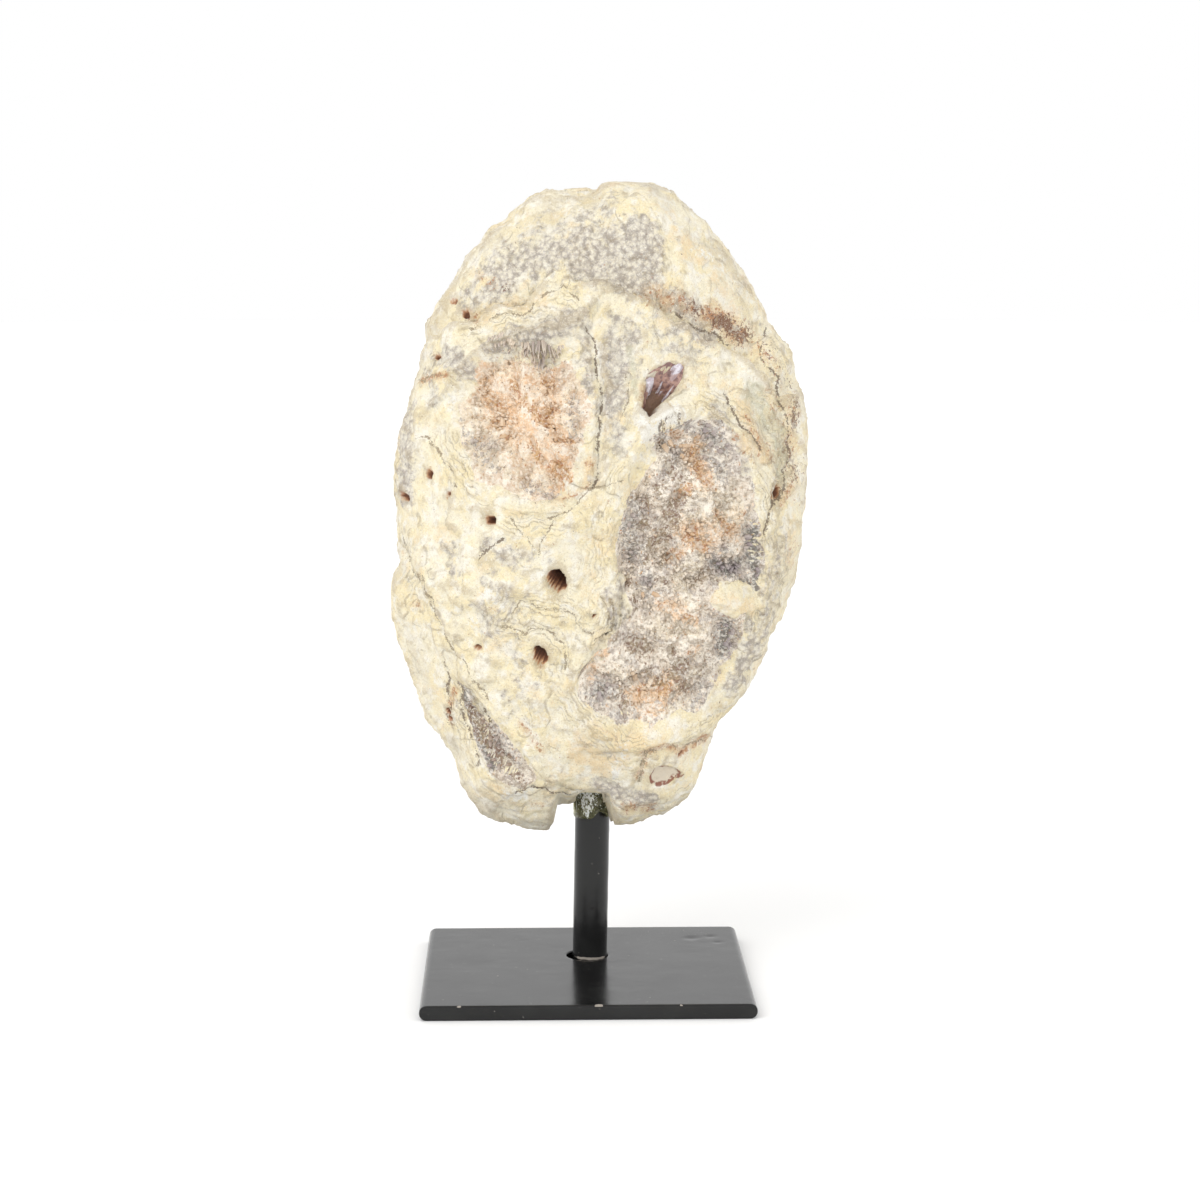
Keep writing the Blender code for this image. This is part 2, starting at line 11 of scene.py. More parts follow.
import bpy
import numpy as np
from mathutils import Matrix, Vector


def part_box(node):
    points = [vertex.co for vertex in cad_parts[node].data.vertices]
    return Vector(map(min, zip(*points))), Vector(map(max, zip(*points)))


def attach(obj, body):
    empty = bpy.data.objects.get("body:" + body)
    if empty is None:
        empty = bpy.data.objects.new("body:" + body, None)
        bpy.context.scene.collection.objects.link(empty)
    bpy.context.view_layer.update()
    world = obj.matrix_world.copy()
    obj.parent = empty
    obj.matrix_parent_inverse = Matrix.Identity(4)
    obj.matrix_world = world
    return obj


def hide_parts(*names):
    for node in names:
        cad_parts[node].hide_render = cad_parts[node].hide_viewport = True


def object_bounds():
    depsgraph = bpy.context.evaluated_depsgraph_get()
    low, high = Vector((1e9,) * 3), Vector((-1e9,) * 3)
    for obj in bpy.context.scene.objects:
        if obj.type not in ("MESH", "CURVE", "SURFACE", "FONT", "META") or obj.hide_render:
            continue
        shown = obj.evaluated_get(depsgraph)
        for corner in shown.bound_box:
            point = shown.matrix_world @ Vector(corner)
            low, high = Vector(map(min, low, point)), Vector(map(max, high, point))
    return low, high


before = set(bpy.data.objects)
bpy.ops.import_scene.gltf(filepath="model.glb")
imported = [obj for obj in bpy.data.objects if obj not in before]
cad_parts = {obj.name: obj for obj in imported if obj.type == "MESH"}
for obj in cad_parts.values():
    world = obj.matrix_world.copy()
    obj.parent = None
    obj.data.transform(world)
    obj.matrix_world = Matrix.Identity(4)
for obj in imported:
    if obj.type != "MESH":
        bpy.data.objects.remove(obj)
CAD_BOX = [list(corner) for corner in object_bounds()]

bl_info = {
    "name": "Druzy agate on a post stand",
    "version": (1, 0, 0),
    "blender": (4, 5, 0),
    "location": "3D View > Sidebar > Agate",
    "description": "Stone, crystals, glue and painted stand of a mounted druzy agate",
    "category": "Add Mesh",
}

MM = 0.001
BODY = "root"
CRUST_FINISH = "agate crust"

# The stone's middle, and the place in front of it from which its front features are laid out.
CENTRE = np.array([4.0, 4.0, 160.0])
EYE = np.array([-18.3, -924.7, 258.7])
CAMERA_PITCH = math.radians(7.88)
CAMERA_YAW = math.radians(1.44)
CAMERA_LENS = 83.43

# The stone's outline in X and Z, anticlockwise from its right side, with its two lobes at the bottom.
OUTLINE = (
    (74, 160), (75, 174), (74, 190), (72, 200), (68, 214), (60, 226), (51, 242), (40, 257), (29, 267),
    (22, 270.5), (10, 270.7), (5, 267), (-8, 266.5), (-16, 265.5), (-24, 260), (-31, 254), (-42, 240),
    (-51, 227), (-55, 210), (-59, 196), (-63, 182), (-63, 160), (-62, 148), (-66, 137), (-65, 122),
    (-59, 107), (-53, 91), (-45, 76), (-40, 65), (-33, 57), (-22, 52.5), (-11, 51.5), (8, 53), (17, 53),
    (26, 55.5), (34, 61), (38, 69), (41, 80), (45, 90), (55, 100), (60, 112), (66, 123), (70, 136),
    (71.5, 148),
)
# The same outline with its notches and corners, as the stone's edge shows it.
EDGE = (
    (74, 160), (74.5, 164), (75, 171), (75, 175), (74.6, 184), (74.2, 191), (73.5, 195.5), (72.4, 199.5),
    (70.7, 203.5), (70, 208), (68.6, 212.5), (66.8, 216.5), (64.5, 220.5), (60.6, 223.4), (58.7, 228),
    (56.8, 232.8), (54.4, 237.6), (51.3, 242), (48, 246.4), (44.8, 251.4), (40.8, 255.5), (36.3, 259.5),
    (31.7, 263.3), (27, 268), (21.6, 270.6), (15.8, 271), (9.8, 270.8), (6.5, 270), (3.5, 267.3),
    (-1.6, 267), (-7.2, 266.4), (-12.9, 266.6), (-18.5, 264.5), (-23.1, 261), (-27.5, 257), (-32.1, 253.8),
    (-35.8, 249.3), (-39.4, 245), (-42.2, 240), (-46, 234.5), (-50, 229), (-52.9, 223), (-53.2, 217.4),
    (-53.8, 212.6), (-55, 207.8), (-56.4, 203.8), (-57.8, 200), (-59.1, 196.4), (-60.2, 192.7),
    (-61.4, 189), (-62.6, 180), (-63.4, 170.7), (-63.1, 163.5), (-62.8, 156.5), (-62.5, 152), (-62.6, 147),
    (-62.9, 142), (-65, 137), (-66, 133), (-65.4, 129), (-64.9, 125), (-62.6, 116.8), (-60.5, 110),
    (-58.6, 103.6), (-57, 99), (-55.4, 94), (-51, 87.6), (-47.2, 82), (-44.2, 75.8), (-42.7, 68.3),
    (-39.6, 62.2), (-35.3, 57.6), (-30, 55), (-22, 52.5), (-14, 51.5), (-11, 52), (-10, 56), (-6.6, 59.2),
    (1, 57), (9.6, 53.9), (15.2, 53.7), (20, 54.8), (25.8, 57.2), (30.8, 60), (35, 63), (37.5, 69),
    (40.5, 78), (42.4, 83.6), (43.6, 89.8), (45.6, 94.4), (48, 98.2), (51.6, 100.8), (54.4, 103.4),
    (56.4, 106.8), (58, 110.8), (61.1, 113.7), (62.4, 117.6), (64.4, 121), (66.4, 124), (68, 129.5),
    (69.5, 134.8), (70.3, 138.5), (70.3, 142), (70.9, 146), (71.9, 149.5), (73.2, 155),
)
EDGE_EASE = 0.4
FRONT_DEPTH = 47.0
BACK_DEPTH = 45.0
ROUNDNESS = 2.2

# The post's leaning axis, and the channel under the stone: its side walls in X, the height of its ceiling
# over the post, and the ceiling's slopes in front and behind.
POST_FOOT = (1.6, 12.0)
POST_LEAN = math.radians(1.08)
POST_RADIUS = 5.95
POST_TOP = 80.0
VALLEY_WALLS = (-10.0, 8.6)
VALLEY_CEILING = 59.2
VALLEY_SLOPES = (0.36, 0.18)
# Radii round the post's axis within which the stone stays above a height: round the glue, then the post.
HELD_CLEAR = ((9.5, 66.7), (6.6, 80.5))
# The notch in the stone's front lip through which the glue shows: its middle and half width from the post's
# axis, its height at the glue, where its ceiling starts to rise, and how steeply it rises.
NOTCH = (-1.2, 4.8, 65.4, 9.0, 0.14)
# The plate's hole, the weld's seat under it and the radii of its corners and of its sawn edges.
PLATE_HOLE = (0.8, 12.4)
HOLE_RADIUS = 7.2
SEAT_RADIUS = 9.2
SEAT_TOP = 2.0
PLATE_CORNER = 0.6
SAWN_EDGE = 0.5

# Front features in X and Z, as they show on the upright plane through the stone's middle.
RIDGE = (
    (-58, 212), (-51, 218), (-38, 225), (-28, 231), (-21, 231), (-15, 236), (-9, 240), (-3, 236.5),
    (6, 236), (21, 232), (31, 225), (49, 217.5), (60, 208), (66, 200),
)
RIDGE_CREST = -1.5
RIDGE_FOOT = 3.5
RIDGE_STEP = 7.0
RIDGE_GROOVE = ((18, 235), (28, 231), (38, 227), (48, 222), (58, 216))
RIGHT_CLEFT = ((60, 221), (59, 212), (63, 206), (66, 198), (68, 189), (67, 170), (65, 164))
GLASSY_HOLLOW = ((54, 205), (60, 203), (66, 186), (62, 184), (56, 195))
OVERHANG = ((-42, 204), (-37, 211), (-30, 215), (-21, 218), (-8, 221), (2, 227))
LOW_LEFT_STEP = ((-60, 146), (-49, 123), (-39, 99), (-22, 75), (-9, 65))
FISSURE = ((1, 222), (4, 214), (4.5, 204), (5, 191), (4, 186), (4.5, 174), (2.5, 169))
PALE_RIB = ((7, 225), (5.5, 219), (7.5, 211), (7, 202))
WEDGE = ((-44, 104), (-38.5, 100), (-26, 84), (-15, 69), (-21, 65), (-33, 70.5), (-38, 84))
LOW_RIGHT_SEAM = ((18, 67), (20, 78), (27, 80), (33, 78), (42, 83))
LEFT_DRUSE = (
    (-44, 202), (-36, 212), (-24, 216), (-9, 215), (-2, 208), (-1, 190), (-2, 174), (-8, 164), (-21, 164),
    (-34, 169), (-43, 183),
)
RIGHT_DRUSE = (
    (14, 171), (20, 184), (29, 191), (39, 193), (50, 185), (57, 165), (61, 140), (58, 123), (50, 106),
    (41, 92), (30, 86), (16, 84), (6, 91), (-2, 103), (5, 115), (12, 130), (9, 150),
)
VUG = ((19.5, 196), (21.5, 206), (27, 209), (32, 207), (31, 201), (25.5, 196.5), (21.5, 191.5))
POOL = (
    (22.3, 69.5), (24, 71.8), (28, 72.3), (31, 71.6), (33.4, 70), (30.4, 69), (28, 66.4), (24.6, 65.6),
    (22.6, 67.4),
)
# Raised and sunken places: middle in X and Z, radius, and height (below 0 for a hollow).
FRONT_SWELLS = (
    (-20, 190, 15, 3.4), (-50, 190, 14, 2.0), (-22, 140, 22, 2.0), (30, 157, 13, 2.2), (47, 128, 9, 2.4),
    (26, 104, 8, -3.0), (-30, 150, 8, 1.4), (26, 62, 12, 2.0), (-26, 60, 12, 2.0), (2, 80, 14, 1.5),
    (14, 262, 10, 1.6), (33, 214, 9, 1.4),
)
BACK_SWELLS = (
    (30, 205, 26, 4.0), (-28, 170, 24, 3.5), (8, 118, 20, -4.5), (-34, 112, 16, 3.0), (42, 150, 14, -3.5),
    (-12, 232, 18, -3.0), (20, 78, 14, 3.0),
)
KNOBS = 150
KNOB_RADIUS = (9.0, 19.0)
KNOB_HEIGHT = 3.0
KNOB_SEED = 5

# Small holes: middle in X and Z, half width, half height, lean in degrees and depth.
FRONT_HOLES = (
    (-9.5, 136.5, 3.9, 2.9, -42, 8.0), (-15.5, 111, 3.6, 2.4, -25, 5.0), (-31.5, 157, 1.9, 2.0, 0, 3.5),
    (-36, 114, 2.0, 1.2, 0, 3.0), (-47, 92, 1.4, 1.6, 0, 3.0), (-46, 89, 1.3, 1.8, 0, 3.0),
    (29, 113, 1.7, 2.4, -20, 5.0), (-43.5, 230.5, 1.4, 1.4, 0, 3.0), (-40, 227, 1.3, 1.6, 20, 2.2),
    (-49.2, 212.3, 1.3, 1.2, 0, 2.2), (-52, 173.2, 1.3, 2.0, 10, 2.2), (-45.6, 166.5, 1.1, 1.5, -30, 2.2),
    (-60.6, 165.2, 1.0, 1.4, 0, 2.0), (2, 124.7, 1.0, 1.2, 0, 1.6), (64.2, 166.5, 1.5, 2.6, -8, 2.6),
    (23.5, 99, 1.3, 1.0, 0, 2.4), (33, 76.5, 1.6, 1.0, 20, 1.5),
)
BACK_HOLES = (
    (18, 176, 3.0, 2.6, 30, 5.0), (-30, 138, 2.2, 2.6, 0, 4.0), (34, 116, 2.0, 1.8, 10, 3.5),
    (-6, 208, 2.4, 1.8, -20, 4.0), (44, 196, 1.4, 1.8, 0, 2.6), (-40, 186, 1.5, 1.2, 0, 2.6),
    (6, 90, 1.6, 1.4, 0, 2.6), (20, 238, 1.5, 1.9, 0, 2.6),
)

# Dark cracks and thin seams between the layers of the crust.
CRACKS = (
    FISSURE, RIGHT_CLEFT, ((47, 200), (49, 194), (54, 188), (59, 181)),
    ((-43, 102), (-41, 92), (-39, 85), (-37, 82), (-37, 73)), ((-48, 109), (-46, 99), (-45, 94)),
    ((-23, 65), (-18, 66), (-12, 64), (-4, 63)), ((65, 168), (63, 162), (61, 158), (60, 152)),
    ((27.4, 191), (27, 188)), ((29.2, 191.6), (29, 188.6)), ((31, 192.4), (31, 189.6)),
    ((25.4, 190), (25.2, 187.6)), ((-36, 144), (-32, 148), (-28, 151)), ((49, 217), (40, 221), (31, 226)),
    ((-34, 92), (-30, 84), (-24, 76), (-19, 70)),
)
SEAMS = (
    ((-29, 120), (-26, 123), (-22, 130), (-17, 129), (-13, 127), (-8, 127), (-4, 124), (-4, 122),
     (-1, 119), (2, 118), (7, 121), (8, 127), (6, 130)),
    ((-28, 120), (-25, 120), (-22, 119), (-21, 117), (-18, 120), (-13, 119), (-7, 115), (-6, 111),
     (-7, 106)), ((9, 130), (10, 126), (9, 120), (3, 116)),
    ((-24.4, 157), (-19.4, 151), (-15, 145.3), (-13.7, 152.3), (-10.8, 156.6)),
    ((-56, 185), (-52, 185), (-49, 182), (-45, 175), (-43, 169)), ((-55, 204), (-46, 206)),
    ((0, 168), (12, 170)), LOW_RIGHT_SEAM, ((21, 77), (18, 69)),
    ((-38, 221), (-28, 227), (-21, 226), (-12, 233), (-7, 236), (-2, 232)),
    ((-62, 152), (-53, 131), (-44, 113), (-33, 96)), ((14, 205), (15, 198), (12, 191)),
    ((2, 168), (-6, 160), (-12, 158)),
)

# Coloured places on the front, as brush strokes: width, strength, then the stroke's points in X and Z.
GREY = (
    (9, 0.9, (-38, 238), (-27, 245), (-14, 246), (-2, 250), (8, 252)),
    (10, 1.0, (0, 244), (12, 243), (17, 248)), (6, 1.2, (14, 238), (19, 254)),
    (4, 1.1, (22, 240), (23, 250)), (2.4, 1.3, (-32, 215), (-22, 218.5), (-8, 222)),
    (5, 1.1, (-30, 234), (-24, 242)), (6, 0.9, (-10, 262), (6, 262)), (7, 0.7, (-34, 248), (-18, 257)),
    (5, 0.9, (-40, 230), (-26, 235)), (6, 1.0, (-40, 233), (-33, 246)), (5, 1.0, (-14, 262), (8, 264)),
    (3.5, 1.2, (5, 66), (12, 63), (22, 60)), (4, 1.1, (18, 235), (30, 231), (40, 225)),
    (6, 1.0, (-27, 216), (-17, 220), (-7, 223)), (3.5, 1.1, (-5, 222), (-1, 226)),
    (4.5, 1.2, (10, 216), (10, 204), (8.5, 195)), (5, 0.7, (10, 190), (12, 180)),
    (2.6, 0.8, (0, 219), (1.5, 200)), (6, 0.7, (12, 222), (12, 208)), (4, 0.8, (16, 218), (12, 210)),
    (4, 0.9, (-60, 196), (-60, 182), (-61, 165)), (2.4, 1.3, (-6, 227), (0, 223)),
    (2.6, 1.1, (33, 222), (42, 218)), (3.4, 0.9, (12, 128), (14, 122)), (2.6, 0.9, (54, 124), (57, 118)),
    (4, 1.0, (44, 194), (48, 184), (52, 174)), (4, 1.0, (-46, 212), (-36, 205)),
    (5, 0.5, (-30, 124), (-20, 100)), (6, 0.6, (22, 222), (36, 212)), (4, 0.6, (-52, 214), (-50, 198)),
    (4, 0.8, (66, 150), (60, 120), (50, 100)), (3, 0.9, (8, 131), (10, 122)),
    (6, 0.6, (-32, 136), (-24, 128)), (4, 0.7, (6, 62), (20, 60)), (3, 0.6, (-36, 60), (-24, 56)),
    (2, 1.0, (2, 171)), (2, 1.1, (8, 77)), (4, 0.7, (-32, 149), (-24, 144)),
    (3, 0.7, (-46, 148), (-44, 140)), (3.5, 0.7, (-36, 128), (-32, 120)), (4, 0.5, (-20, 146), (-14, 142)),
    (3, 0.6, (-28, 98), (-22, 90)), (3, 0.6, (-40, 100), (-34, 76)), (3, 0.6, (12, 134), (8, 128)),
    (4, 0.6, (60, 222), (52, 232)),
)
RUST = (
    (4.5, 1.0, (42, 226), (53, 220)), (4, 0.7, (52, 222), (62, 212)), (1.4, 0.9, (-55, 204), (-46, 206)),
    (4, 0.6, (22, 233), (34, 229)), (1.8, 0.9, (19.5, 202), (20, 196)), (4.5, 0.45, (63, 210), (69, 196)),
    (4.5, 0.5, (70, 194), (68, 180)), (4, 0.4, (69, 176), (68, 164)), (3, 0.7, (2, 176)),
    (1.3, 1.1, (20, 78), (27, 80), (33, 78), (42, 83)), (1.5, 0.9, (21, 77), (18, 69)),
    (1.8, 1.0, (37, 80), (40, 82)), (2.2, 0.7, (-39, 227), (-36, 224)), (3, 0.5, (50, 186), (56, 178)),
    (2.4, 0.7, (54, 192), (62, 178)), (2.4, 0.6, (-40, 240), (-30, 236)), (1.4, 0.9, (-52, 174)),
    (1.4, 0.9, (-49, 212)), (1.4, 0.9, (-60.6, 165)), (1.8, 0.8, (-57, 129)),
    (2.6, 0.5, (70, 150), (69, 142)), (1.4, 0.9, (68, 168), (66, 162)),
    (1.4, 0.9, (-45.5, 94), (-44, 100)), (1.5, 0.7, (-45, 166)), (1.8, 0.6, (-31, 127)),
    (2, 0.5, (66, 124)), (3, 0.5, (62, 200), (66, 190)), (1.2, 0.8, (5, 265), (6, 268)),
    (2.5, 0.8, (14, 58), (22, 58)), (1.6, 0.6, (-8, 164), (4, 170)), (1.5, 0.6, (-22, 88), (-14, 78)),
    (1.5, 0.8, (-15, 108), (-14, 113)),
)
ORANGE = (
    (6, 1.0, (-2, 78), (8, 74), (16, 82)), (5, 0.8, (53, 194), (60, 180)), (8, 0.8, (4, 84), (22, 80)),
    (6, 0.5, (30, 232), (40, 214)), (4, 0.6, (52, 172), (50, 164)), (3, 0.9, (2, 177), (1, 171)),
    (5, 0.4, (-20, 104), (-10, 96)), (5, 0.4, (4, 150), (2, 132)), (3, 0.6, (12, 170)),
    (4, 0.5, (-64, 120), (-58, 104), (-52, 92)), (4, 0.8, (30, 252), (38, 244)),
    (4, 0.7, (44, 238), (52, 228)), (3.5, 0.7, (-30, 66), (-16, 60)), (5, 0.6, (-34, 226), (-14, 230)),
    (5, 0.75, (44, 131), (56, 126)), (5, 0.4, (26, 208), (40, 206)), (4, 0.4, (-12, 232), (-20, 226)),
)
WHITE = (
    (4.0, 1.3, (22, 193), (30, 193)), (3.0, 1.2, (20, 189), (21, 186)), (3.0, 0.8, (5, 214), (6.5, 206)),
    (3.5, 0.75, (38, 248), (46, 242), (54, 233)), (3, 0.9, (-32, 132), (-28, 128)), (2.2, 0.8, (-38, 122)),
    (2.4, 1.0, (-27, 63), (-21, 63)), (2.5, 0.9, (22, 186), (26, 191)), (2.4, 0.8, (20, 184)),
    (3, 0.7, (-44, 197)), (3, 0.6, (12, 78), (10, 70)), (1.6, 1.0, (-60, 118)),
    (4, 0.5, (-36, 232), (-28, 232)), (3, 0.5, (-14, 139)),
)
# Brown marks: the first two strokes lie in the groove under the ridge, where their brown is painted shadow of
# the ledge; the others are stains.
BROWN = (
    (3.2, 1.2, (45, 224), (54, 219.5)), (2.4, 0.7, (34, 229), (45, 224)), (3.0, 0.7, (62, 216), (66, 208)),
    (3.2, 0.8, (68, 206), (71, 197)), (1.8, 0.9, (70, 193), (70.5, 188.5)),
    (2.6, 0.7, (67.5, 183), (70, 172)), (1.2, 0.9, (-48, 90), (-45, 88)), (1.0, 0.8, (-44, 230)),
    (2.5, 0.6, (-26, 235)),
)
GLASS = ((5, 1.0, (57, 200), (62, 190)), (3, 0.9, (64, 186), (66, 172)), (2, 0.7, (15, 215), (17, 200)))
CRUST_MARKS = {"grey": GREY, "rust": RUST, "orange": ORANGE, "white": WHITE, "brown": BROWN, "glass": GLASS}
# Where the crust's thin growth lines show.
LINED = (
    (5, 1.0, (60, 196), (64, 182), (63, 160), (62, 140), (60, 122)), (4, 0.5, (-60, 150), (-58, 130)),
    (5, 0.5, (-40, 66), (-24, 58)), (8, 0.5, (8, 176), (6, 160), (4, 145), (0, 128)),
    (9, 1.0, (-24, 124), (-6, 122), (6, 122)), (6, 0.9, (-14, 112), (-4, 106)),
    (6, 0.9, (-42, 100), (-38, 80)), (7, 0.8, (-4, 96), (4, 84), (18, 76)),
    (6, 0.7, (60, 178), (64, 150), (62, 120)), (6, 0.6, (-38, 221), (-22, 226), (-6, 232)),
    (5, 0.8, (42, 196), (54, 190)), (5, 0.7, (-46, 184), (-40, 168)), (6, 0.6, (-24, 156), (-10, 156)),
    (5, 0.6, (44, 92), (36, 84)),
)
# Places inside the crystal fields: dark and rusty glassy spots, pale lumps, and lavender grey hollows.
AMBER = (
    (2.1, 1.1, (-12, 202)), (1.3, 1.1, (-31.5, 197), (-26, 193.6)), (1.9, 1.0, (-29, 189.5)),
    (1.8, 1.0, (-10.5, 193), (-13, 190.5)), (1.1, 1.0, (-12, 188.2)), (1.3, 0.9, (-32.6, 203)),
    (2.6, 1.0, (-9, 175), (-6, 171)), (1.5, 0.8, (-23, 202), (-21, 197)),
    (1.3, 0.8, (-17, 183), (-15, 177)), (1.0, 0.9, (-9, 183), (-4, 182.5)),
    (2.0, 0.7, (-19, 196), (-14, 190)), (1.6, 0.7, (-25, 184)), (2.0, 1.1, (29.8, 185)),
    (1.4, 1.1, (36.4, 183.4)), (2.2, 1.1, (35.2, 179)),
    (1.8, 1.1, (37.2, 175), (36.8, 171.7), (40, 168.5)), (1.6, 1.0, (33, 167.7), (30.5, 165)),
    (2.4, 1.1, (36, 153.7), (34.5, 150.6), (39, 149)), (1.9, 1.0, (46.9, 154.5)),
    (1.9, 1.0, (29.8, 146.7), (27.6, 145.5)), (1.5, 1.0, (24.3, 129.5)), (1.6, 0.9, (33, 125.6)),
    (1.4, 0.8, (33.7, 114.7)), (2.4, 0.9, (19, 99)), (2.0, 1.0, (25, 100), (27.4, 100.6)),
    (2.0, 0.8, (21.2, 93.6)), (1.5, 0.7, (41, 160), (44, 157)),
)
UMBER = (
    (1.8, 1.1, (27.4, 175.5), (29, 171.7), (32, 171)), (1.5, 1.0, (25, 183.4)),
    (2.3, 1.1, (30.6, 164.6), (28.2, 160), (29, 156.8)), (2.0, 1.0, (24.3, 167.7)),
    (2.4, 1.0, (20.8, 163)), (2.3, 1.0, (19.6, 156)), (2.3, 1.1, (26, 152), (22, 149)),
    (2.0, 1.0, (20.4, 144.3)), (1.6, 0.9, (27.4, 146)), (2.0, 1.0, (25, 137.3)), (2.2, 1.1, (13.4, 136.5)),
    (2.0, 0.9, (17.3, 131)), (3.0, 1.2, (15.7, 117), (19, 114.7)), (1.4, 1.3, (29, 113.9)),
    (1.2, 1.1, (26, 110.8)), (2.6, 1.1, (32, 110), (29, 104.5), (33, 101.4)), (1.9, 1.1, (24.3, 102.2)),
    (1.8, 0.9, (21.2, 107.7), (15, 103.8)), (2.2, 0.9, (11.8, 99), (14.2, 92.8)),
    (3.0, 1.0, (-38, 92), (-33, 84)), (2.6, 1.1, (-31, 80), (-23, 72)), (2.0, 0.9, (-36, 86), (-30, 76)),
    (2.0, 0.7, (38, 108), (40, 112)), (1.8, 0.8, (40, 142), (37, 136)),
)
DUSK = (
    (3.6, 1.1, (39, 187.3), (45.4, 181)), (2.6, 1.3, (45.4, 191.2)), (3.0, 1.0, (34.5, 186.5)),
    (2.2, 1.1, (57, 169.3)), (3.2, 1.5, (55.5, 153.5), (55.5, 143.6)),
    (2.8, 1.3, (51.6, 142.8), (47, 140.4), (43, 142.8)), (3.2, 1.5, (52.4, 135.8), (55.5, 132.6)),
    (2.2, 1.0, (45.4, 147.5)), (3.2, 1.5, (47, 121.7), (46.2, 113)),
    (2.4, 1.1, (11.8, 130.3), (12.6, 127.2)), (4.2, 0.9, (17.3, 161.5), (14.2, 153.7), (16.5, 146)),
    (3.4, 1.0, (26, 186), (34, 189)), (3, 0.9, (40, 178), (44, 172)),
    (2.6, 1.4, (56.5, 154), (57, 142), (57.5, 131)), (3.2, 0.9, (19, 139.7), (22, 134)),
    (4.2, 1.1, (6.4, 102.2), (4, 99)), (3.6, 0.9, (11, 90.5)), (2.6, 1.0, (39, 101.4)),
    (2.0, 1.0, (21.2, 185.7)), (2.6, 0.55, (-42, 188), (-36, 183), (-30, 182)),
    (2.2, 0.5, (-34, 178), (-28, 174)), (3.0, 1.1, (-27, 215), (-19, 213), (-12, 209)),
    (3.2, 1.35, (-41, 99), (-35, 84), (-31, 74)), (4.0, 0.9, (-32, 86), (-24, 74)),
    (3.0, 0.6, (-18, 168), (-10, 165)), (2.6, 0.5, (-4, 196), (-4, 184)), (3.0, 0.7, (36, 94), (44, 100)),
    (2.4, 0.9, (30, 178), (26, 172)),
)
PALE = (
    (4.6, 1.0, (36, 164.6), (45.4, 164.6), (48.5, 160)), (3.6, 1.0, (34.5, 158.4), (42.3, 158.4)),
    (3.6, 0.9, (42.3, 173.2)), (4.0, 0.9, (30, 139), (33, 130.3)),
    (3.6, 0.9, (36.8, 147.5), (35.2, 142.8)), (4.2, 1.0, (25, 121.7), (36, 121)), (3.0, 0.9, (36.8, 107)),
    (4.2, 0.9, (27.4, 93.6), (34.5, 93.6)), (3.0, 0.9, (8.7, 110), (11.8, 107)),
    (5.0, 0.7, (-28, 208), (-14, 207)), (3.5, 0.8, (-6, 193), (-4, 186)), (7, 1.1, (-39, 192), (-36, 178)),
    (6, 0.7, (-2, 204), (-2, 184)), (7.0, 0.9, (-28, 174), (-14, 170)), (3.0, 1.0, (-29, 78), (-25, 74)),
)
WARM = (
    (13, 1.2, (-22, 202), (-16, 192), (-9, 180)), (5, 0.9, (-33, 203), (-27, 192)),
    (6, 1.0, (-10, 174), (-14, 168)), (5, 0.6, (46, 130), (54, 126)), (3.5, 1.0, (35, 183), (38, 170)),
    (6, 0.9, (34, 153), (43, 154)), (4, 0.8, (27, 130), (34, 126)), (5, 0.9, (18, 98), (28, 101)),
    (4, 0.7, (21, 93)), (4, 0.6, (6, 112), (3, 106)), (3.5, 0.6, (48, 152), (50, 160)),
    (3, 0.7, (34, 114), (37, 118)),
)
FIELD_MARKS = {"amber": AMBER, "umber": UMBER, "dusk": DUSK, "pale": PALE, "warm": WARM}
# Where crystals cover the fields, and the tongue of crust that crosses the right field's edge.
RIGHT_GROWTH = (
    (39, 191), (33, 190.4), (27.4, 188), (22, 184), (21, 177), (16.5, 167.7), (13.4, 160), (10.3, 149),
    (10, 141), (12.5, 133.4), (16, 128), (14.5, 124), (11, 119.5), (7.2, 113.5), (1.7, 111.6), (-3, 104),
    (-2, 97.4), (9.7, 85.4), (17, 87.4), (24.8, 88), (31, 90), (39.5, 93.8), (45.2, 100.4), (46.5, 105.3),
    (52.4, 113), (53, 122.5), (56.5, 128), (59, 133.4), (60, 143), (59, 153.7), (56.5, 160.7), (58, 168),
    (52.5, 174), (49.5, 183.4), (48.5, 191), (43.8, 193),
)
TONGUE = (
    (43, 133.5), (47, 135.5), (51, 136), (56, 133), (62, 128.5), (56, 125.5), (51, 125.8), (48, 124),
    (45.5, 128.5), (42, 130),
)
LEFT_GROWTH = (
    (-34, 210), (-23, 211), (-10.5, 210), (-4, 212), (0, 204), (1, 190), (0, 178), (-3.4, 170),
    (-9, 162.5), (-16, 162), (-20.6, 165.5), (-36, 171.8), (-41, 182.7), (-43, 188.2), (-38, 196.7),
    (-37, 203.8),
)
CAP_FIELD = (
    (-45, 232), (-42, 241), (-32, 251), (-20, 259), (-2, 264), (14, 263), (23, 254), (26, 242), (24, 233),
    (14, 236), (5, 239), (-5, 242), (-13, 241), (-19, 235), (-30, 233), (-40, 226),
)

VUG_DEPTH = 7.5
# The back of the vug's lining lies this far under the crust beside it
VUG_BACK = 8.6
# Pale lobes in the vug, as X, Z and radius
VUG_LOBES = (
    (22.4, 203.8, 2.2), (30.6, 207.4, 1.4), (27.2, 205.0, 0.8), (25.0, 199.5, 0.9), (28.4, 202.0, 0.7),
)
# The glue collar's section, as radius and height, from its top out, down and back up the rod
GLUE_SECTION = (
    (6.4, 66.4), (9.1, 66.4), (9.15, 61.0), (8.6, 58.8), (7.6, 56.8), (6.6, 54.6), (6.35, 54.15),
    (6.35, 66.4),
)
GLUE_REACH = 9.25
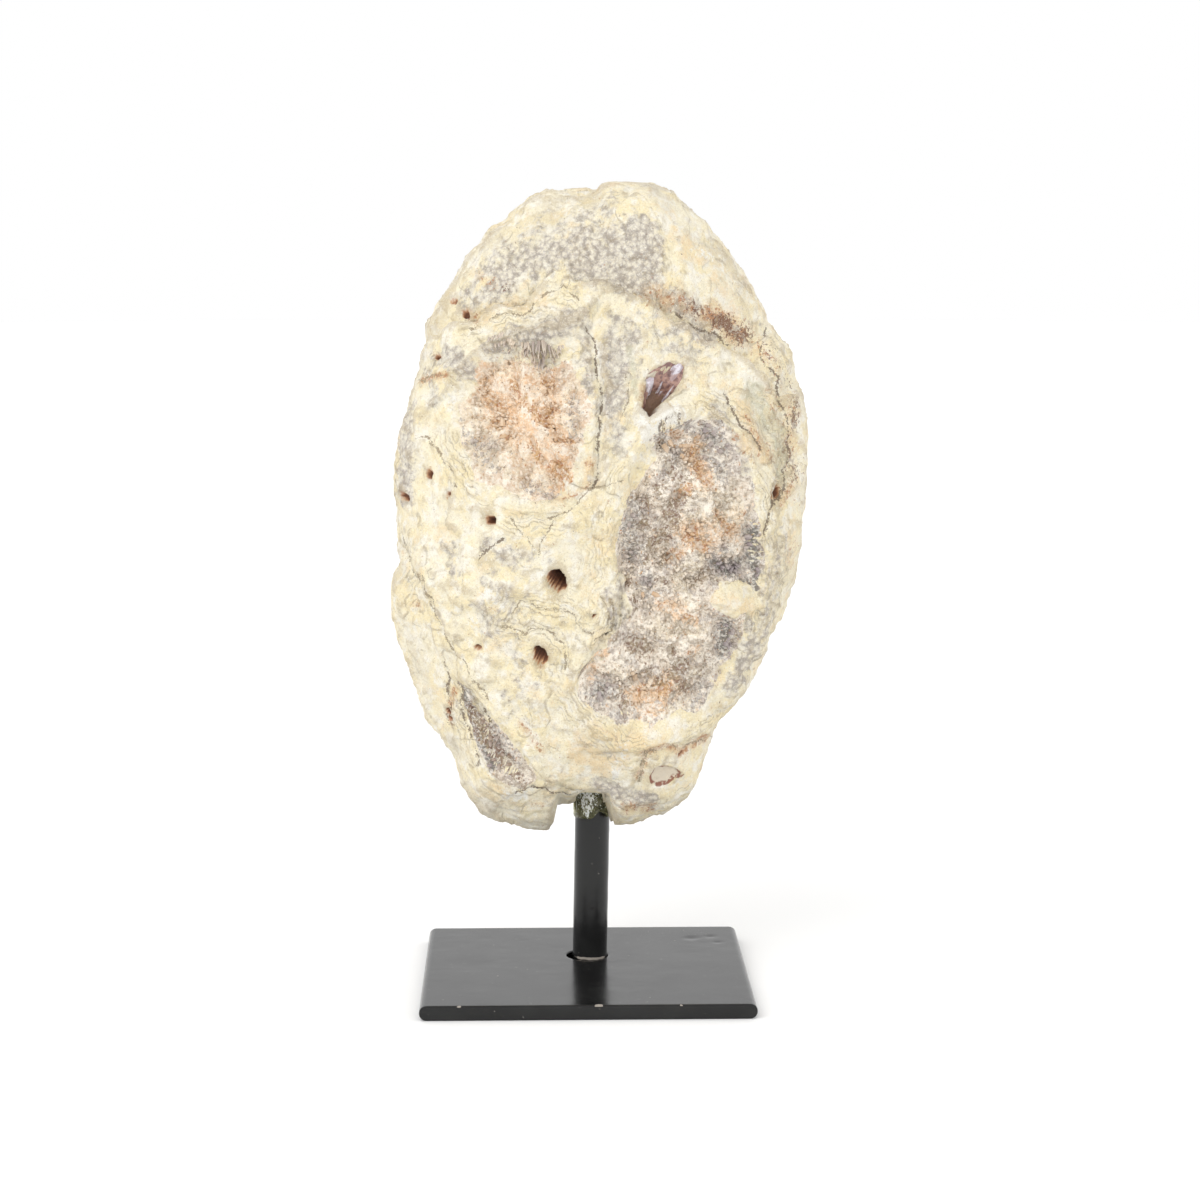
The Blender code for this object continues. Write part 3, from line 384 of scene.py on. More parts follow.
# Dents on the plate, as X, Y, radius and lift; the top is only ever sunk, so a lift above 0 only makes nearby
# dents and grain shallower
PLATE_SPECKS = (
    (38, 34, 2.4, -0.25), (42, 31, 1.6, 0.16), (45, 36, 1.8, -0.2), (36, 29, 1.3, 0.14),
    (47, 28, 1.5, -0.18), (41, 39, 1.2, 0.12), (-34, -12, 0.8, 0.1), (-22, 18, 0.7, 0.08),
    (9.5, 5.0, 1.3, 0.25), (12.0, 6.5, 0.9, 0.18), (18, -26, 0.7, 0.08),
)
# Chips in the plate's paint, as X, Y and radius
PLATE_CHIPS = (
    (3.4, -50, 1.6), (-42, -50, 0.8), (30, -50, 0.6), (-30, -14, 0.5), (12, -30, 0.35), (2.0, 5.6, 0.7),
    (-1.5, 5.4, 0.5), (26, 6, 0.35),
)
POOL_DEPTH = 1.2
BED_DEPTH = 2.4
SURFACE_INSET = 0.25
BOX_MARGIN = 0.1
BOX_EASE = 1.5
FIELD_OVERLAP = 6.0
# Share of a display colour that its surface needs under the stage's lights.
LIGHT_SHARE = 0.95
FRONT_CROWDING = 0.72
BALL_STRETCH = (70.0, 50.0, 109.0)


def colour(red, green, blue):
    """Linear colour of display values 0 to 255."""
    share = np.array([red, green, blue]) / 255.0
    linear = np.where(share <= 0.04045, share / 12.92, ((share + 0.055) / 1.055) ** 2.4)
    return tuple(float(value) for value in linear)


def shade(red, green, blue):
    """Surface colour that shows as the given display values under the stage's lights."""
    return tuple(LIGHT_SHARE * value for value in colour(red, green, blue))


# Forms of the stone


def smoothstep(low, high, value):
    """0 below low, 1 above high and an S-curve between."""
    share = np.clip((value - low) / (high - low), 0.0, 1.0)
    return share * share * (3.0 - 2.0 * share)


def bell(distance, radius):
    """A smooth hump, 1 at distance 0 and nearly 0 at twice the radius."""
    return np.exp(-((distance / radius) ** 2))


def waves(points, length, seed, count=12):
    """Smooth uneven field of about -1 to 1: plane waves of one length with seeded ways and starts."""
    draw = np.random.default_rng(seed)
    ways = draw.normal(size=(count, 3))
    ways /= np.linalg.norm(ways, axis=1, keepdims=True)
    starts = draw.uniform(0.0, 2.0 * np.pi, count)
    return np.sin(points @ ways.T * (2.0 * np.pi / length) + starts).sum(axis=1) / math.sqrt(2.0 * count)


def grain(points, size, seed, octaves=3):
    """Rough field of about -1 to 1: random values on a cubic lattice, eased between, in halving sizes."""
    table = np.random.default_rng(seed).uniform(-1.0, 1.0, 4096)
    total = np.zeros(len(points))
    for octave in range(octaves):
        place = points * (2.0**octave / size) + 500.0
        cell = np.floor(place).astype(np.int64)
        share = place - cell
        share = share * share * (3.0 - 2.0 * share)
        for corner in itertools.product((0, 1), repeat=3):
            key = (cell + np.array(corner)) @ np.array([1619, 31337, 6971]) + 101 * octave
            weight = np.where(corner, share, 1.0 - share).prod(axis=1)
            total += weight * table[key % 4096] * 0.55**octave
    return total


def line_distance(line, across, up):
    """Distance of each place to a line of corners, and its side: above 0 to the left of the line's way."""
    place = np.stack([across, up], axis=-1)[:, None, :]
    corners = np.array(line, dtype=float)
    starts = corners[:-1]
    spans = corners[1:] - starts
    share = np.clip(((place - starts) * spans).sum(axis=-1) / (spans * spans).sum(axis=-1), 0.0, 1.0)
    offset = place - (starts + share[..., None] * spans)
    distance = np.linalg.norm(offset, axis=-1)
    nearest = distance.argmin(axis=1)
    row = np.arange(len(across))
    side = spans[nearest, 0] * offset[row, nearest, 1] - spans[nearest, 1] * offset[row, nearest, 0]
    return distance[row, nearest], np.sign(side)


def area_distance(outline, across, up):
    """Distance of each place to a closed outline, below 0 inside it."""
    distance, _ = line_distance(outline + outline[:1], across, up)
    corners = np.array(outline, dtype=float)
    turned = np.roll(corners, -1, axis=0)
    crosses = (corners[:, 1] > up[:, None]) != (turned[:, 1] > up[:, None])
    rise = turned[:, 1] - corners[:, 1]
    rise = np.where(rise == 0.0, 1.0, rise)
    meets = corners[:, 0] + (up[:, None] - corners[:, 1]) * (turned[:, 0] - corners[:, 0]) / rise
    inside = (crosses & (across[:, None] < meets)).sum(axis=1) % 2 == 1
    return np.where(inside, -distance, distance)


def strokes(marks, across, up):
    """Strength of brush strokes at each place: the strongest of their soft-edged lines and dots."""
    total = np.zeros(len(across))
    for width, amount, *line in marks:
        if len(line) == 1:
            away = np.hypot(across - line[0][0], up - line[0][1])
        else:
            away = line_distance(line, across, up)[0]
        total = np.maximum(total, amount * bell(away, width))
    return total


def seen(points):
    """Where points show on the upright plane through the stone's middle, looked at from EYE."""
    share = (CENTRE[1] - EYE[1]) / (points[:, 1] - EYE[1])
    return EYE[0] + (points[:, 0] - EYE[0]) * share, EYE[2] + (points[:, 2] - EYE[2]) * share


def reach_of(outline, middle, angle, ease):
    """An outline's distance from its middle at each angle, eased by a weighted mean over nearby angles."""
    corners = np.array(outline, dtype=float) - middle
    dense = np.linspace(0.0, 1.0, 40, endpoint=False)[None, :, None]
    path = (corners[:, None] * (1.0 - dense) + np.roll(corners, -1, axis=0)[:, None] * dense).reshape(-1, 2)
    path_angle = np.arctan2(path[:, 1], path[:, 0])
    order = np.argsort(path_angle)
    radius = np.hypot(path[order, 0], path[order, 1])
    steps = np.radians(np.arange(-3.0, 3.25, 0.5)) * ease
    weights = bell(steps, math.radians(1.0) * ease)
    total = sum(
        weight * np.interp(angle + step, path_angle[order], radius, period=2.0 * np.pi)
        for weight, step in zip(weights, steps)
    )
    return total / weights.sum()


TURN = np.linspace(-np.pi, np.pi, 3601)
TURN_REACH = reach_of(OUTLINE, CENTRE[[0, 2]], TURN, 2.0)
EDGE_REACH = reach_of(EDGE, CENTRE[[0, 2]], TURN, EDGE_EASE)


def body_reach(ways):
    """Distance from the stone's middle to its plain body: the outline blown up to a rounded form."""
    flat = np.hypot(ways[:, 0], ways[:, 2])
    outline = np.interp(np.arctan2(ways[:, 2], ways[:, 0]), TURN, TURN_REACH)
    depth = np.where(ways[:, 1] < 0.0, FRONT_DEPTH, BACK_DEPTH)
    body = (flat / outline) ** ROUNDNESS + (np.abs(ways[:, 1]) / depth) ** ROUNDNESS
    return body ** (-1.0 / ROUNDNESS)


def knobs(points):
    """Rounded lumps with creases between them: at each point, the highest of many seeded domes, in mm."""
    draw = np.random.default_rng(KNOB_SEED)
    ways = draw.normal(size=(KNOBS, 3))
    ways /= np.linalg.norm(ways, axis=1, keepdims=True)
    middles = CENTRE + body_reach(ways)[:, None] * ways
    radii = draw.uniform(*KNOB_RADIUS, KNOBS)
    best = np.zeros(len(points))
    for middle, radius in zip(middles, radii):
        best = np.maximum(best, 1.0 - ((points - middle) ** 2).sum(axis=1) / radius**2)
    return KNOB_HEIGHT * best


def front_relief(across, up):
    """Height of the front's ledges, grooves, rims and hollows, in mm along the line from the middle."""
    ridge = np.array(RIDGE, dtype=float)
    over = up - np.interp(across, ridge[:, 0], ridge[:, 1])
    rise = -RIDGE_STEP * smoothstep(RIDGE_CREST, RIDGE_FOOT, over) * np.exp(-np.maximum(over, 0.0) / 26.0)
    rise += 1.4 * bell(over + 3.0, 3.0)
    rise -= 2.5 * bell(line_distance(RIDGE_GROOVE, across, up)[0], 2.4)

    cleft, side = line_distance(RIGHT_CLEFT, across, up)
    rise -= 3.6 * bell(cleft, 1.8)
    rise -= 1.6 * np.where(side > 0.0, 1.0, 0.0) * smoothstep(0.5, 3.0, cleft) * np.exp(-cleft / 9.0)
    rise -= 1.8 * smoothstep(1.5, -2.0, area_distance(GLASSY_HOLLOW, across, up))

    lip, side = line_distance(OVERHANG, across, up)
    under = -3.2 * smoothstep(0.0, 1.5, lip) * np.exp(-lip / 9.0)
    rise += np.where(side > 0.0, 2.4 * np.exp(-lip / 5.0), under)
    step, side = line_distance(LOW_LEFT_STEP, across, up)
    rise -= 4.5 * smoothstep(-1.5, 3.5, np.where(side < 0.0, step, -step)) * np.exp(-step / 22.0)

    rise -= 1.5 * bell(line_distance(FISSURE, across, up)[0], 1.2)
    rise += 1.8 * bell(line_distance(PALE_RIB, across, up)[0], 2.6)
    rise -= 4.5 * smoothstep(1.0, -3.0, area_distance(WEDGE, across, up))
    rise -= 1.8 * bell(line_distance(LOW_RIGHT_SEAM, across, up)[0], 1.6)
    rise -= 2.0 * smoothstep(1.0, -3.0, area_distance(LEFT_DRUSE, across, up))
    right = area_distance(RIGHT_DRUSE, across, up)
    rise += 1.4 * bell(right - 2.5, 2.5) - 3.4 * smoothstep(1.0, -4.0, right)
    for middle, height, radius, swell in FRONT_SWELLS:
        rise += swell * bell(np.hypot(across - middle, up - height), radius)
    return rise


def hole_depth(holes, across, up):
    """How deep the small holes go at each place, in mm: steep egg-shaped dents with uneven rims."""
    depth = np.zeros(len(across))
    for middle, height, wide, high, lean, deep in holes:
        turn = math.radians(lean)
        east, north = across - middle, up - height
        away = np.hypot(
            (east * math.cos(turn) + north * math.sin(turn)) / wide,
            (north * math.cos(turn) - east * math.sin(turn)) / high,
        )
        depth = np.maximum(depth, deep * smoothstep(1.1, 0.45, away))
    return depth


def nearest_line(lines, across, up):
    """Distance to the nearest of several lines, without and with its side as its sign."""
    far, side = (np.array(rows) for rows in zip(*(line_distance(line, across, up) for line in lines)))
    first = (far.argmin(axis=0), np.arange(len(across)))
    return far[first], (far * side)[first]


def layer_field(points, across, up):
    """Distance in mm from the places round which the crust grew in layers, eased together and uneven."""
    gaps = [np.abs(area_distance(area, across, up)) for area in (RIGHT_DRUSE, LEFT_DRUSE, WEDGE, VUG)]
    gaps += [line_distance(seam, across, up)[0] for seam in SEAMS[:3]]
    nearest = -2.2 * np.log(sum(np.exp(-gap / 2.2) for gap in gaps))
    return nearest + 1.3 * grain(points, 9.0, 31) + 0.5 * grain(points, 2.6, 32, 2)


def bend(points, across, up):
    """The places of the front with a fine wobble, so that drawn lines and edges run unevenly."""
    return across + 0.9 * grain(points, 5.0, 41), up + 0.9 * grain(points, 5.0, 42)


def coarse_reach(ways, points, front, back):
    """Distance from the stone's middle to its surface, with its ledges, swells, knobs and long waves."""
    across, up = bend(points, *seen(points))
    reach = body_reach(ways) + front * front_relief(across, up)
    swell = sum(
        lift * bell(np.hypot(points[:, 0] - middle, points[:, 2] - height), radius)
        for middle, height, radius, lift in BACK_SWELLS
    )
    reach += back * swell + (front + back) * 2.6 * waves(points, 60.0, 1)
    edge = bell(ways[:, 1], 0.22)
    turn = np.arctan2(ways[:, 2], ways[:, 0])
    reach *= 1.0 + edge * (np.interp(turn, TURN, EDGE_REACH) / np.interp(turn, TURN, TURN_REACH) - 1.0)
    lumps = (knobs(points) - 0.6 * KNOB_HEIGHT) * (0.45 + 0.55 * back)
    reach += (1.0 - front) * lumps * (1.0 - 0.7 * edge)
    return reach + (1.4 * waves(points, 27.0, 2) + 0.7 * waves(points, 12.0, 3)) * (1.0 - 0.75 * edge)


def cut_channel(ways, reach, rough):
    """The reach cut back to the ceiling of the channel between the two lobes."""
    fall = ways[:, 2] + np.where(ways[:, 1] < 0.0, *VALLEY_SLOPES) * ways[:, 1]
    drop = VALLEY_CEILING + VALLEY_SLOPES[1] * (POST_FOOT[1] - CENTRE[1]) - CENTRE[2]
    down = fall < -0.3
    ceiling = np.where(down, drop / np.where(down, fall, -1.0), 1000.0)
    beside = CENTRE[0] + ceiling * ways[:, 0] + 0.9 * rough
    left, right = VALLEY_WALLS
    inside = smoothstep(left - 0.8, left + 0.8, beside) * smoothstep(right + 0.8, right - 0.8, beside)
    return reach + down * inside * np.minimum(ceiling + 0.8 * rough - reach, 0.0)


def stone_form(ways):
    """The stone's surface along unit directions from its middle, and what its finish needs at each point.

    The reach along each direction is the plain body's, plus the ledges and swells of the front or back, plus
    waves and rough grain of falling size, less holes, cracks and the beds of the crystal fields. Ledges are
    laid out on the plain body, and all finer marks where the surface with its ledges shows.
    """
    points = CENTRE + body_reach(ways)[:, None] * ways
    front = smoothstep(0.03, 0.30, -ways[:, 1])
    back = smoothstep(0.03, 0.30, ways[:, 1])
    reach = coarse_reach(ways, points, front, back)
    across, up = seen(CENTRE + reach[:, None] * ways)
    east, north = bend(points, across, up)

    layers = layer_field(points, east, north)
    step = layers / 2.4
    terrace = np.floor(step) + smoothstep(0.35, 0.65, step - np.floor(step)) - step
    lined = strokes(LINED, across, up) * front
    rough = grain(points, 6.5, 21, 4)
    plates = grain(points, 16.0, 23)
    fine = 0.7 * rough + 0.6 * terrace * (0.2 + 0.8 * lined) + 0.5
    fine -= 0.9 * np.abs(grain(points, 9.0, 26, 3)) + 0.5 * np.abs(grain(points, 3.4, 27, 2))
    fine -= 0.6 * (1.0 - front) * np.abs(grain(points, 13.0, 22))
    fine += 0.45 * smoothstep(-0.04, 0.05, plates)
    crack_far, crack_side = nearest_line(CRACKS, east, north)
    seam_far, seam_side = nearest_line(SEAMS, east, north)
    fine -= front * (0.55 * bell(crack_far, 0.7) + 0.35 * bell(seam_far, 0.7))

    holes = np.where(front > back, front * hole_depth(FRONT_HOLES, east, north), 0.0)
    holes += back * hole_depth(BACK_HOLES, points[:, 0] + 0.5 * rough, points[:, 2])
    pitted = strokes(GREY + BROWN, across, up) * front
    pitted += (1.0 - front) * smoothstep(0.1, 0.5, grain(points, 30.0, 24))
    fine -= 0.5 * smoothstep(0.35, 0.8, grain(points, 1.8, 25, 2)) * smoothstep(0.3, 0.7, pitted)
    vug = area_distance(VUG, east, north)
    pool = area_distance(POOL, across + 0.4 * rough, up)
    fields = [area_distance(area, east, north) for area in (LEFT_DRUSE, RIGHT_GROWTH, WEDGE)]
    bed = front * BED_DEPTH * smoothstep(0.0, -3.5, np.min(fields, axis=0))
    fine -= bed + front * POOL_DEPTH * smoothstep(0.3, -0.5, pool)
    fine *= 1.0 - 0.85 * np.clip(holes / 1.5, 0.0, 1.0)
    reach += fine - holes - front * VUG_DEPTH * smoothstep(0.3, -1.2, vug) - SURFACE_INSET
    reach = cut_channel(ways, reach, rough)

    values = {key: strokes(marks, across, up) * front for key, marks in CRUST_MARKS.items()}
    distances = {
        "crack_far": (crack_far, 9.0), "seam_far": (seam_far, 9.0), "vug": (vug, 20.0), "pool": (pool, 20.0),
    }
    values.update({key: np.where(front > 0.1, far, beyond) for key, (far, beyond) in distances.items()})
    values.update(
        lined=lined, layers=layers, crack_side=crack_side, seam_side=seam_side, plates=plates, front=front,
        bed=bed, hole=np.clip(holes / 2.0, 0.0, 1.0),
    )
    return inside_box(CENTRE + reach[:, None] * ways), values


def ways_seen_at(across, up):
    """Directions from the stone's middle to its plain body at places of the upright plane, by halving."""
    target = np.stack([across, np.full_like(across, CENTRE[1]), up], axis=1)
    view = EYE - target
    view /= np.linalg.norm(view, axis=1, keepdims=True)
    near, far = np.zeros(len(across)), np.full(len(across), 60.0)
    for _ in range(18):
        middle = (near + far) / 2.0
        offset = target + middle[:, None] * view - CENTRE
        away = np.linalg.norm(offset, axis=1)
        inside = away < body_reach(offset / away[:, None])
        near, far = np.where(inside, middle, near), np.where(inside, far, middle)
    offset = target + near[:, None] * view - CENTRE
    return offset / np.linalg.norm(offset, axis=1, keepdims=True)


# Grids and meshes


def grid_faces(rows, columns, ring_rows=False, ring_columns=False):
    """Quads between neighbours of a grid of rows by columns, closed to a ring either way where asked."""
    row = np.arange(rows if ring_rows else rows - 1)[:, None]
    column = np.arange(columns if ring_columns else columns - 1)[None, :]
    below, beside = (row + 1) % rows, (column + 1) % columns
    this, other = row * columns, below * columns
    corners = np.broadcast_arrays(this + column, this + beside, other + beside, other + column)
    return np.stack([corner.ravel() for corner in corners], axis=1)


def ball_grid(count):
    """Directions over a whole ball from one square grid, and its quads.

    The square's middle is the front and its four corners meet at the back. The ring of a place is the sum of
    its two coordinates' sizes, folded over past 1. The cosine of the angle from the front falls with the ring
    squared, so the cells stay nearly even, and FRONT_CROWDING gives the front more of them.
    """
    step = np.linspace(-1.0, 1.0, count + 1)
    u, v = (side.ravel() for side in np.meshgrid(step, step))
    total = np.abs(u) + np.abs(v)
    front = total <= 1.0
    ring = np.where(front, total, 2.0 - total)
    rise = np.where(front, np.abs(v), 1.0 - np.abs(u))
    angle = 0.5 * np.pi * rise / np.maximum(ring, 1e-9)
    cosine = np.where(front, 1.0 - FRONT_CROWDING * ring**2, (2.0 - FRONT_CROWDING) * ring**2 - 1.0)
    sine = np.sqrt(np.maximum(0.0, 1.0 - cosine**2))
    ways = np.stack([np.sign(u) * sine * np.cos(angle), -cosine, np.sign(v) * sine * np.sin(angle)], axis=1)
    ways *= BALL_STRETCH
    ways /= np.linalg.norm(ways, axis=1, keepdims=True)

    index = np.arange((count + 1) ** 2).reshape(count + 1, count + 1)
    half = np.minimum(np.arange(count + 1), count - np.arange(count + 1))
    index[:, 0], index[:, count] = index[half, 0], index[half, count]
    index[0, :], index[count, :] = index[0, half], index[count, half]
    index[[0, count, count], [count, 0, count]] = index[0, 0]
    kept, merged = np.unique(index.ravel(), return_inverse=True)
    return ways[kept], merged.ravel()[grid_faces(count + 1, count + 1)]


def disc_grid(count):
    """Radius from 0 to 1 and angle of a square grid laid on a disc: each square ring becomes a circle."""
    step = np.linspace(-1.0, 1.0, count + 1)
    a, b = (side.ravel() for side in np.meshgrid(step, step))
    wide = np.abs(a) > np.abs(b)
    radius = np.where(wide, a, b)
    safe = np.where(radius == 0.0, 1.0, radius)
    angle = np.where(wide, 0.25 * np.pi * b / safe, 0.5 * np.pi - 0.25 * np.pi * a / safe)
    return np.abs(radius), np.where(radius < 0.0, angle + np.pi, angle)


def hollows(points, faces, rounds):
    """How far each point lies under its surroundings, in mm, by the mean of its neighbours taken some rounds."""
    quads = np.asarray(faces)
    count = len(points)

    def gathered(places, numbers):
        return np.stack([np.bincount(places, numbers[:, k], count) for k in range(3)], axis=1)

    ends = np.concatenate([quads[:, [k, (k + 1) % 4]] for k in range(4)])
    ends = np.concatenate([ends, ends[:, ::-1]])
    shared = np.maximum(np.bincount(ends[:, 0], minlength=count), 1)[:, None]
    facing = np.cross(points[quads[:, 2]] - points[quads[:, 0]], points[quads[:, 3]] - points[quads[:, 1]])
    normal = gathered(quads.ravel(), np.repeat(facing, 4, axis=0))
    normal /= np.maximum(np.linalg.norm(normal, axis=1, keepdims=True), 1e-9)
    mean = points
    for _ in range(rounds):
        mean = gathered(ends[:, 0], mean[ends[:, 1]]) / shared
    return ((mean - points) * normal).sum(axis=1)


def inside_box(points):
    """Points eased back inside the solids' own box, where they would pass its faces."""
    low, high = (np.array(corner) / MM for corner in CAD_BOX)
    over = np.maximum(points - (high - BOX_MARGIN - BOX_EASE), 0.0)
    under = np.maximum((low + BOX_MARGIN + BOX_EASE) - points, 0.0)
    under[:, 2] = 0.0
    held = BOX_EASE * (np.exp(-under / BOX_EASE) - np.exp(-over / BOX_EASE))
    return points - over + under + held


def put_mesh(name, points, faces, surface, values=None, smooth=True):
    """A mesh object from points in mm and face arrays, with a number at each point for each named value.

    A mesh whose faces point in, so that its signed volume is below 0, has them turned round.
    """
    blocks = [np.asarray(block) for block in faces]
    triangles = [block[:, [0, k, k + 1]] for block in blocks for k in range(1, block.shape[1] - 1)]
    a, b, c = (points[corner] for corner in np.concatenate(triangles).T)
    if (a * np.cross(b, c)).sum() < 0.0:
        blocks = [block[:, ::-1] for block in blocks]
    sizes = np.concatenate([np.full(len(block), block.shape[1]) for block in blocks])
    mesh = bpy.data.meshes.new(name)
    mesh.vertices.add(len(points))
    mesh.vertices.foreach_set("co", (points * MM).astype(np.float32).ravel())
    mesh.loops.add(int(sizes.sum()))
    corners = np.concatenate([block.ravel() for block in blocks])
    mesh.loops.foreach_set("vertex_index", corners.astype(np.int32))
    mesh.polygons.add(len(sizes))
    mesh.polygons.foreach_set("loop_start", (np.cumsum(sizes) - sizes).astype(np.int32))
    mesh.polygons.foreach_set("use_smooth", np.broadcast_to(smooth, len(sizes)))
    for key, value in (values or {}).items():
        store = mesh.attributes.new(key, "FLOAT", "POINT")
        store.data.foreach_set("value", np.asarray(value, dtype=np.float32))
    mesh.materials.append(surface)
    mesh.update(calc_edges=True)
    mesh.validate()
    made = bpy.data.objects.new(name, mesh)
    bpy.context.scene.collection.objects.link(made)
    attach(made, BODY)
    return made


def ring_grid(rounds, rows):
    """The turn in radians and the row number of every point of stacked rings."""
    turn, row = np.meshgrid(np.linspace(0.0, 2.0 * np.pi, rounds, endpoint=False), np.arange(rows))
    return turn.ravel(), row.ravel()


def round_axis(turn, radius, height):
    """Points at a turn, a radius and a height round the upright Z axis."""
    return np.stack([np.cos(turn) * radius, np.sin(turn) * radius, height], axis=1)


def lean(points):
    """Brings points from the upright Z axis to the post's leaning axis."""
    x = points[:, 0] * math.cos(POST_LEAN) + points[:, 2] * math.sin(POST_LEAN) + POST_FOOT[0]
    z = points[:, 2] * math.cos(POST_LEAN) - points[:, 0] * math.sin(POST_LEAN)
    return np.stack([x, points[:, 1] + POST_FOOT[1], z], axis=1)


# Crystals


def crystal_heights(across, up, cell, seed, steep):
    """Height over a plane covered with six-sided points, and a random tone for each.

    The plane is cut in square cells with one crystal each, moved off its middle. A crystal is its peak's
    height less the largest of its distances along six side directions, times its steepness. The highest shows.
    """
    table = np.random.default_rng(seed).uniform(0.0, 1.0, (997, 5))
    column, row = np.floor(across / cell).astype(np.int64), np.floor(up / cell).astype(np.int64)
    best, tone = np.full(len(across), -1e9), np.zeros(len(across))
    for east, north in itertools.product((-1, 0, 1), repeat=2):
        key = ((column + east) * 353 + (row + north) * 89) % 997
        shift_x, shift_z, peak, turn, glint = table[key].T
        x = (across - (column + east + 0.1 + 0.8 * shift_x) * cell) / cell
        z = (up - (row + north + 0.1 + 0.8 * shift_z) * cell) / cell
        sides = turn * 6 + np.arange(6)[:, None] * np.pi / 3
        side = np.max(x * np.cos(sides) + z * np.sin(sides), axis=0)
        height = peak * 0.8 - side * steep * (0.7 + 0.6 * glint)
        tone = np.where(height > best, glint, tone)
        best = np.maximum(best, height)
    return np.clip(best, -1.2, 1.0), tone


def crystals(name, places, axes, lengths, radii, surface, values, tilt=0.25):
    """Closed six-sided crystals as one mesh: a foot ring, a shoulder ring and a point for each.

    The foot is a third of the length under its place. The shoulder is the foot's ring, a little narrower and
    slanting, at half the length. The point is off the middle.
    """
    draw = np.random.default_rng(len(places))
    count = len(places)
    axes = axes / np.linalg.norm(axes, axis=1, keepdims=True)
    side = np.cross(axes, np.where(np.abs(axes[:, 2:3]) < 0.8, [[0.0, 0.0, 1.0]], [[1.0, 0.0, 0.0]]))
    side /= np.linalg.norm(side, axis=1, keepdims=True)
    other = np.cross(axes, side)
    turn = draw.uniform(0.0, 1.0, (count, 1)) + np.arange(6) * np.pi / 3.0
    round_way = np.cos(turn)[..., None] * side[:, None] + np.sin(turn)[..., None] * other[:, None]
    slant = 1.0 + tilt * draw.uniform(-1.0, 1.0, (count, 6))
    long = lengths[:, None, None] * axes[:, None]
    wide = radii[:, None, None] * round_way
    foot = places[:, None] + wide - 0.33 * long
    shoulder = places[:, None] + 0.86 * wide + 0.5 * slant[..., None] * long
    off = 0.3 * radii[:, None] * round_way[np.arange(count), draw.integers(0, 6, count)]
    tip = places + lengths[:, None] * axes + off
    points = np.concatenate([foot, shoulder, tip[:, None]], axis=1).reshape(-1, 3)
    first = 13 * np.arange(count)[:, None, None]
    ring = np.arange(6)
    after = (ring + 1) % 6
    sides = (first + np.stack([ring, after, after + 6, ring + 6], axis=1)).reshape(-1, 4)
    points_up = (first + np.stack([ring + 6, after + 6, np.full(6, 12)], axis=1)).reshape(-1, 3)
    feet = (first[:, :, 0] + ring[::-1]).reshape(-1, 6)
    spread = {key: np.repeat(value, 13) for key, value in values.items()}
    spread["tip"] = np.tile(np.concatenate([np.zeros(6), np.full(6, 0.6), [1.0]]), count)
    return put_mesh(name, points, [sides, points_up, feet], surface, spread, smooth=False)


def field_values(across, up):
    """The coloured places inside the crystal fields."""
    return {key: strokes(marks, across, up) for key, marks in FIELD_MARKS.items()}


def close_disc(front, foot, deep, values, faces):
    """Closes a disc grid's piece behind: a skirt from its rim to a foot ring, and a fan to a point.

    Gives the points, the faces and the values at every point. The foot ring takes the rim's values.
    """
    rim = rim_loop(front)
    after = np.roll(np.arange(len(rim)), -1)
    below = len(front) + np.arange(len(rim))
    skirt = np.stack([rim, rim[after], below[after], below], axis=1)
    fan = np.stack([below, below[after], np.full(len(rim), len(front) + len(rim))], axis=1)
    values = {key: np.concatenate([value, value[rim], [0.0]]) for key, value in values.items()}
    return np.concatenate([front, foot, deep[None]]), [np.concatenate([faces, skirt]), fan], values


def rim_loop(points):
    """The places of a square grid's rim, in order round it."""
    side = math.isqrt(len(points))
    square = np.arange(side**2).reshape(side, side)
    return np.concatenate([square[0, :-1], square[:-1, -1], square[-1, :0:-1], square[:0:-1, 0]])


